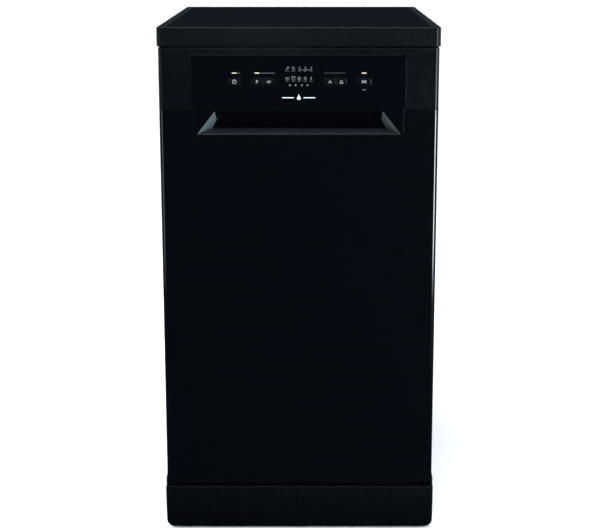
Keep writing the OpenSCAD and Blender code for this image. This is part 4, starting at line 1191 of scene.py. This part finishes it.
def rib_strip(middle, normal):
    above = (middle.z - low.z) % rib_step
    return normal.y > 0.9 and abs(middle.x) < 0.1 and above < 14 * MM and middle.z > low.z + 20 * MM


sink(back, rib_strip, (0.5 * MM, 0), (2.5 * MM, high.y - sheet_back), each=True)
soften(back, 0.4 * MM, 2, 20)
galvanised = finish("galvanised_sheet", (0.36, 0.375, 0.39), (0.45, 0.465, 0.48), (0.38, 0.48), grain=110,
                    bumps=0.00001, kind="cells", Metallic=1)
paint(back, galvanised)
seat(back, "cabinet", "zinc_steel", "rear_panel")


# ---- Screws ----
# Self-tapping pan head screws with a cross recess. Six hold the rear panel to the sides, and ten
# hold the door liner to the outer panel.

def screw(x, y, z, radius):
    """One screw head that faces backwards, with its cross recess."""
    head = drum(radius, 1.8 * MM, (x, y + 0.9 * MM, z), 28, "Y")
    round_edges(head, 0.8 * MM, 4, lambda middle, way: middle.y > y + 1.7 * MM)
    for width, tall in ((0.55, 2.2), (2.2, 0.55)):
        carve(head, block("cross", (x - width * MM, y + 1 * MM, z - tall * MM),
                          (x + width * MM, y + 3 * MM, z + tall * MM)))
    smooth(head, 40)
    return head


screw_zinc = finish("screw_zinc", (0.5, 0.51, 0.53), (0.62, 0.63, 0.65), (0.25, 0.35), grain=900,
                    Metallic=1)
low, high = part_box("cabinet_screws")
heads = []
for side in (-1, 1):
    first = screw(side * (high.x - 4 * MM), low.y, low.z + 4 * MM, 4 * MM)
    heads.append(repeat(first, 3, (0, 0, (high.z - low.z - 8 * MM) / 2)))
heads = join("rear_screws", heads)
paint(heads, screw_zinc)
seat(heads, "cabinet", "zinc_steel", "cabinet_screws")
low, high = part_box("door_screws")
heads = []
for side in (-1, 1):
    heads.append(repeat(screw(side * (high.x - 3.5 * MM), low.y, low.z + 3.5 * MM, 3.5 * MM), 4,
                        (0, 0, 120 * MM)))
    heads.append(screw(side * (high.x - 3.5 * MM), low.y, high.z - 3.5 * MM, 3.5 * MM))
heads = join("liner_screws", heads)
paint(heads, screw_zinc)
seat(heads, "door", "zinc_steel", "door_screws")


# ---- Base tray and ballast ----
# One deep moulding of glass filled polypropylene carries the machine. A cast concrete block at the
# back keeps it from tipping when the open door is loaded.

base_plastic = finish("base_plastic", (0.02, 0.022, 0.025), (0.03, 0.033, 0.037), (0.5, 0.62), grain=600,
                      bumps=0.00008)
paint_nodes(base_plastic, "base_tray")
low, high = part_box("counterweight")
ballast = block("ballast_block", low, high)
round_edges(ballast, 10 * MM, 3, lambda middle, way: way.z > 0.9)
soften(ballast, 0.8 * MM, 2)
paint(ballast, finish("cast_concrete", (0.2, 0.19, 0.18), (0.34, 0.33, 0.31), (0.8, 0.95), grain=250,
                      bumps=0.0006))
seat(ballast, "cabinet", "ballast", "counterweight")


# ---- Feet ----
# Four moulded pads on threaded stems screw into the base tray and level the machine. Each pad has
# finger grips around its edge.

foot_plastic = finish("foot_plastic", (0.02, 0.021, 0.024), (0.03, 0.032, 0.036), (0.5, 0.6), grain=900,
                      bumps=0.00004)


def grip_face(middle, normal):
    turn = math.degrees(math.atan2(normal.y, normal.x)) / 7.5
    return abs(normal.z) < 0.1 and math.floor(turn) % 4 == 0


for node in ("foot_front_left", "foot_front_right", "foot_rear_left", "foot_rear_right"):
    low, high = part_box(node)
    middle_x, middle_y, radius = (low.x + high.x) / 2, (low.y + high.y) / 2, (high.x - low.x) / 2
    pad = drum(radius, 8 * MM, (middle_x, middle_y, low.z + 4 * MM))
    sink(pad, grip_face, (0.9 * MM, -1 * MM), each=True)
    sink(pad, lambda middle, normal: normal.z > 0.9, (8 * MM, 0))
    soften(pad, 0.3 * MM, 2, 40)
    stem = rod((middle_x, middle_y, low.z + 7 * MM), (middle_x, middle_y, high.z), 4.5 * MM, 24)
    bare()
    bpy.ops.mesh.primitive_torus_add(major_segments=24, minor_segments=6, major_radius=4.5 * MM,
                                     minor_radius=0.5 * MM, location=(middle_x, middle_y, low.z + 10 * MM))
    thread = bpy.context.object
    bpy.ops.object.transform_apply(location=True, rotation=True, scale=True)
    bpy.ops.object.shade_smooth()
    foot = join(node.replace("foot_", "level_foot_"), [pad, stem, repeat(thread, 26, (0, 0, 1.5 * MM))])
    paint(foot, foot_plastic)
    seat(foot, node, "foot_plastic", node)


# ---- Hinges and springs ----
# Pressed steel brackets and arms hold the door on two pins. A coil spring at each side pulls on the
# arm's tail and balances the door.

paint_nodes(zinc, "hinge_brackets", "hinge_arms")
low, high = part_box("door_springs")
spring_z = (low.z + high.z) / 2
coils = []
turns, coil_radius, wire_radius = 50, 5.6 * MM, 0.9 * MM
coil_near, coil_far = low.y + 92 * MM, high.y - 8 * MM
for side in (-1, 1):
    spring_x = side * (high.x - 6.5 * MM)
    path = [(spring_x, low.y, spring_z), (spring_x, coil_near - 4 * MM, spring_z)]
    for k in range(turns * 12 + 1):
        turn = math.radians(30 * k)
        path.append((spring_x + coil_radius * math.sin(turn),
                     coil_near + (coil_far - coil_near) * k / (turns * 12),
                     spring_z + coil_radius * math.cos(turn)))
    path += [(spring_x, coil_far + 4 * MM, spring_z), (spring_x, high.y, spring_z)]
    coils.append(round_bar(path, wire_radius, 1))
    bpy.ops.object.shade_smooth()
springs = join("balance_springs", coils)
paint(springs, finish("spring_steel", (0.2, 0.21, 0.22), (0.32, 0.33, 0.34), (0.3, 0.4), grain=900,
                      Metallic=1))
seat(springs, "cabinet", "zinc_steel", "door_springs")


# ---- Latch and strike ----
# A bent steel strike hangs in the middle of the frame, and the moulded latch in the door's top edge
# snaps onto it.

paint_nodes(screw_zinc, "latch_strike")
latch_plastic = finish("latch_plastic", (0.02, 0.022, 0.025), (0.03, 0.032, 0.036), (0.4, 0.5), grain=900,
                       bumps=0.00003)
paint_nodes(latch_plastic, "door_latch")


# ---- Sump, filters and softener ----
# Water gathers in a moulded sump under the tub. A perforated steel plate and a removable cylinder
# filter it, and the softener's salt funnel closes with a screw cap beside them.

sump_plastic = finish("sump_plastic", (0.05, 0.054, 0.06), (0.07, 0.075, 0.083), (0.42, 0.52), grain=700,
                      bumps=0.00004)
paint_nodes(sump_plastic, "sump", "spray_duct", "upper_feed_pipe")
filter_mesh = finish("filter_mesh", (0.24, 0.25, 0.26), (0.62, 0.63, 0.64), (0.3, 0.4), grain=520,
                     bumps=0.0003,
                     kind="cells", Metallic=1)
paint_nodes(filter_mesh, "filter_plate")

low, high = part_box("filter_cylinder")
middle_x, middle_y, radius = (low.x + high.x) / 2, (low.y + high.y) / 2, (high.x - low.x) / 2
strainer = drum(radius, high.z - low.z - 3 * MM, (middle_x, middle_y, (low.z + high.z - 3 * MM) / 2), 60)
pick_faces(strainer, lambda middle, normal: normal.z > 0.9)
bpy.ops.mesh.inset(thickness=3 * MM)
bpy.ops.mesh.extrude_region_move(TRANSFORM_OT_translate={"value": (0, 0, -58 * MM)})
leave()
for level in (low.z + 8 * MM, high.z - 16 * MM):
    cut_line(strainer, (0, 0, level), (0, 0, 1))


def strainer_window(middle, normal):
    away = Vector((middle.x - middle_x, middle.y - middle_y))
    turn = math.floor(math.degrees(math.atan2(away.y, away.x)) / 6)
    return (abs(normal.z) < 0.1 and low.z + 8 * MM < middle.z < high.z - 16 * MM
            and away.length > radius - MM and turn % 5 != 0)


sink(strainer, strainer_window, (0.5 * MM, -0.8 * MM))
soften(strainer, 0.5 * MM, 2, 40)
handle = block("handle", (middle_x - radius + 2 * MM, middle_y - 2.5 * MM, high.z - 9 * MM),
               (middle_x + radius - 2 * MM, middle_y + 2.5 * MM, high.z))
soften(handle, 1.4 * MM, 3)
strainer = join("strainer", [strainer, handle])
paint(strainer, finish("strainer_plastic", (0.1, 0.11, 0.12), (0.14, 0.15, 0.165), (0.4, 0.5), grain=800,
                       bumps=0.00004))
seat(strainer, "filter", "wash_plastic", "filter_cylinder")

tank_plastic = finish("tank_plastic", (0.62, 0.61, 0.57), (0.72, 0.71, 0.67), (0.4, 0.5), grain=500,
                      bumps=0.00005)
paint_nodes(tank_plastic, "softener_tank")
low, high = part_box("salt_cap")
middle_x, middle_y, radius = (low.x + high.x) / 2, (low.y + high.y) / 2, (high.x - low.x) / 2
lid = drum(radius, 8 * MM, (middle_x, middle_y, high.z - 7 * MM), 60)
sink(lid,
     lambda middle, normal: abs(normal.z) < 0.1
         and math.floor(math.degrees(math.atan2(normal.y, normal.x)) / 6) % 3 == 0,
     (0.8 * MM, -0.8 * MM), each=True)
sink(lid, lambda middle, normal: normal.z > 0.9, (4 * MM, 0), (1 * MM, -0.8 * MM))
soften(lid, 0.25 * MM, 2, 40)
plug = rod((middle_x, middle_y, low.z), (middle_x, middle_y, high.z - 8 * MM), radius - 6 * MM, 48)
wing = block("wing", (middle_x - radius + 6 * MM, middle_y - 2.5 * MM, high.z - 5 * MM),
             (middle_x + radius - 6 * MM, middle_y + 2.5 * MM, high.z))
soften(wing, 1.2 * MM, 3)
use(wing)
bpy.ops.object.mode_set(mode="EDIT")
bpy.ops.mesh.select_all(action="SELECT")
bpy.ops.transform.rotate(value=math.radians(45), orient_axis="Z",
                         center_override=(middle_x, middle_y, high.z))
leave()
cap = join("salt_screw_cap", [lid, plug, wing])
paint(cap, finish("salt_cap_plastic", (0.03, 0.034, 0.04), (0.042, 0.047, 0.055), (0.35, 0.45), grain=900,
                  bumps=0.00003))
seat(cap, "salt_cap", "wash_plastic", "salt_cap")


# ---- Pumps, valve and tanks ----
# The wash pump and its bladed impeller, the drain pump, the inlet valve with its hose thread, and
# the air break tank beside the tub are all moulded pieces in the base and behind the left wall.

pump_plastic = finish("pump_plastic", (0.035, 0.038, 0.043), (0.05, 0.054, 0.06), (0.4, 0.5), grain=700,
                      bumps=0.00004)
paint_nodes(pump_plastic, "wash_pump", "drain_pump", "mains_gland")
paint_nodes(tank_plastic, "pump_impeller", "air_break_tank", "inlet_valve")


# ---- Control board ----
# A green glass fibre board with six small switches. It is clipped behind the insert in the top of
# the door, and its lamps shine through the light guides.

board_green = finish("board_green", (0.01, 0.07, 0.035), (0.02, 0.12, 0.06), (0.3, 0.45), grain=700,
                     bumps=0.00003, kind="cells")
paint_nodes(board_green, "control_board")
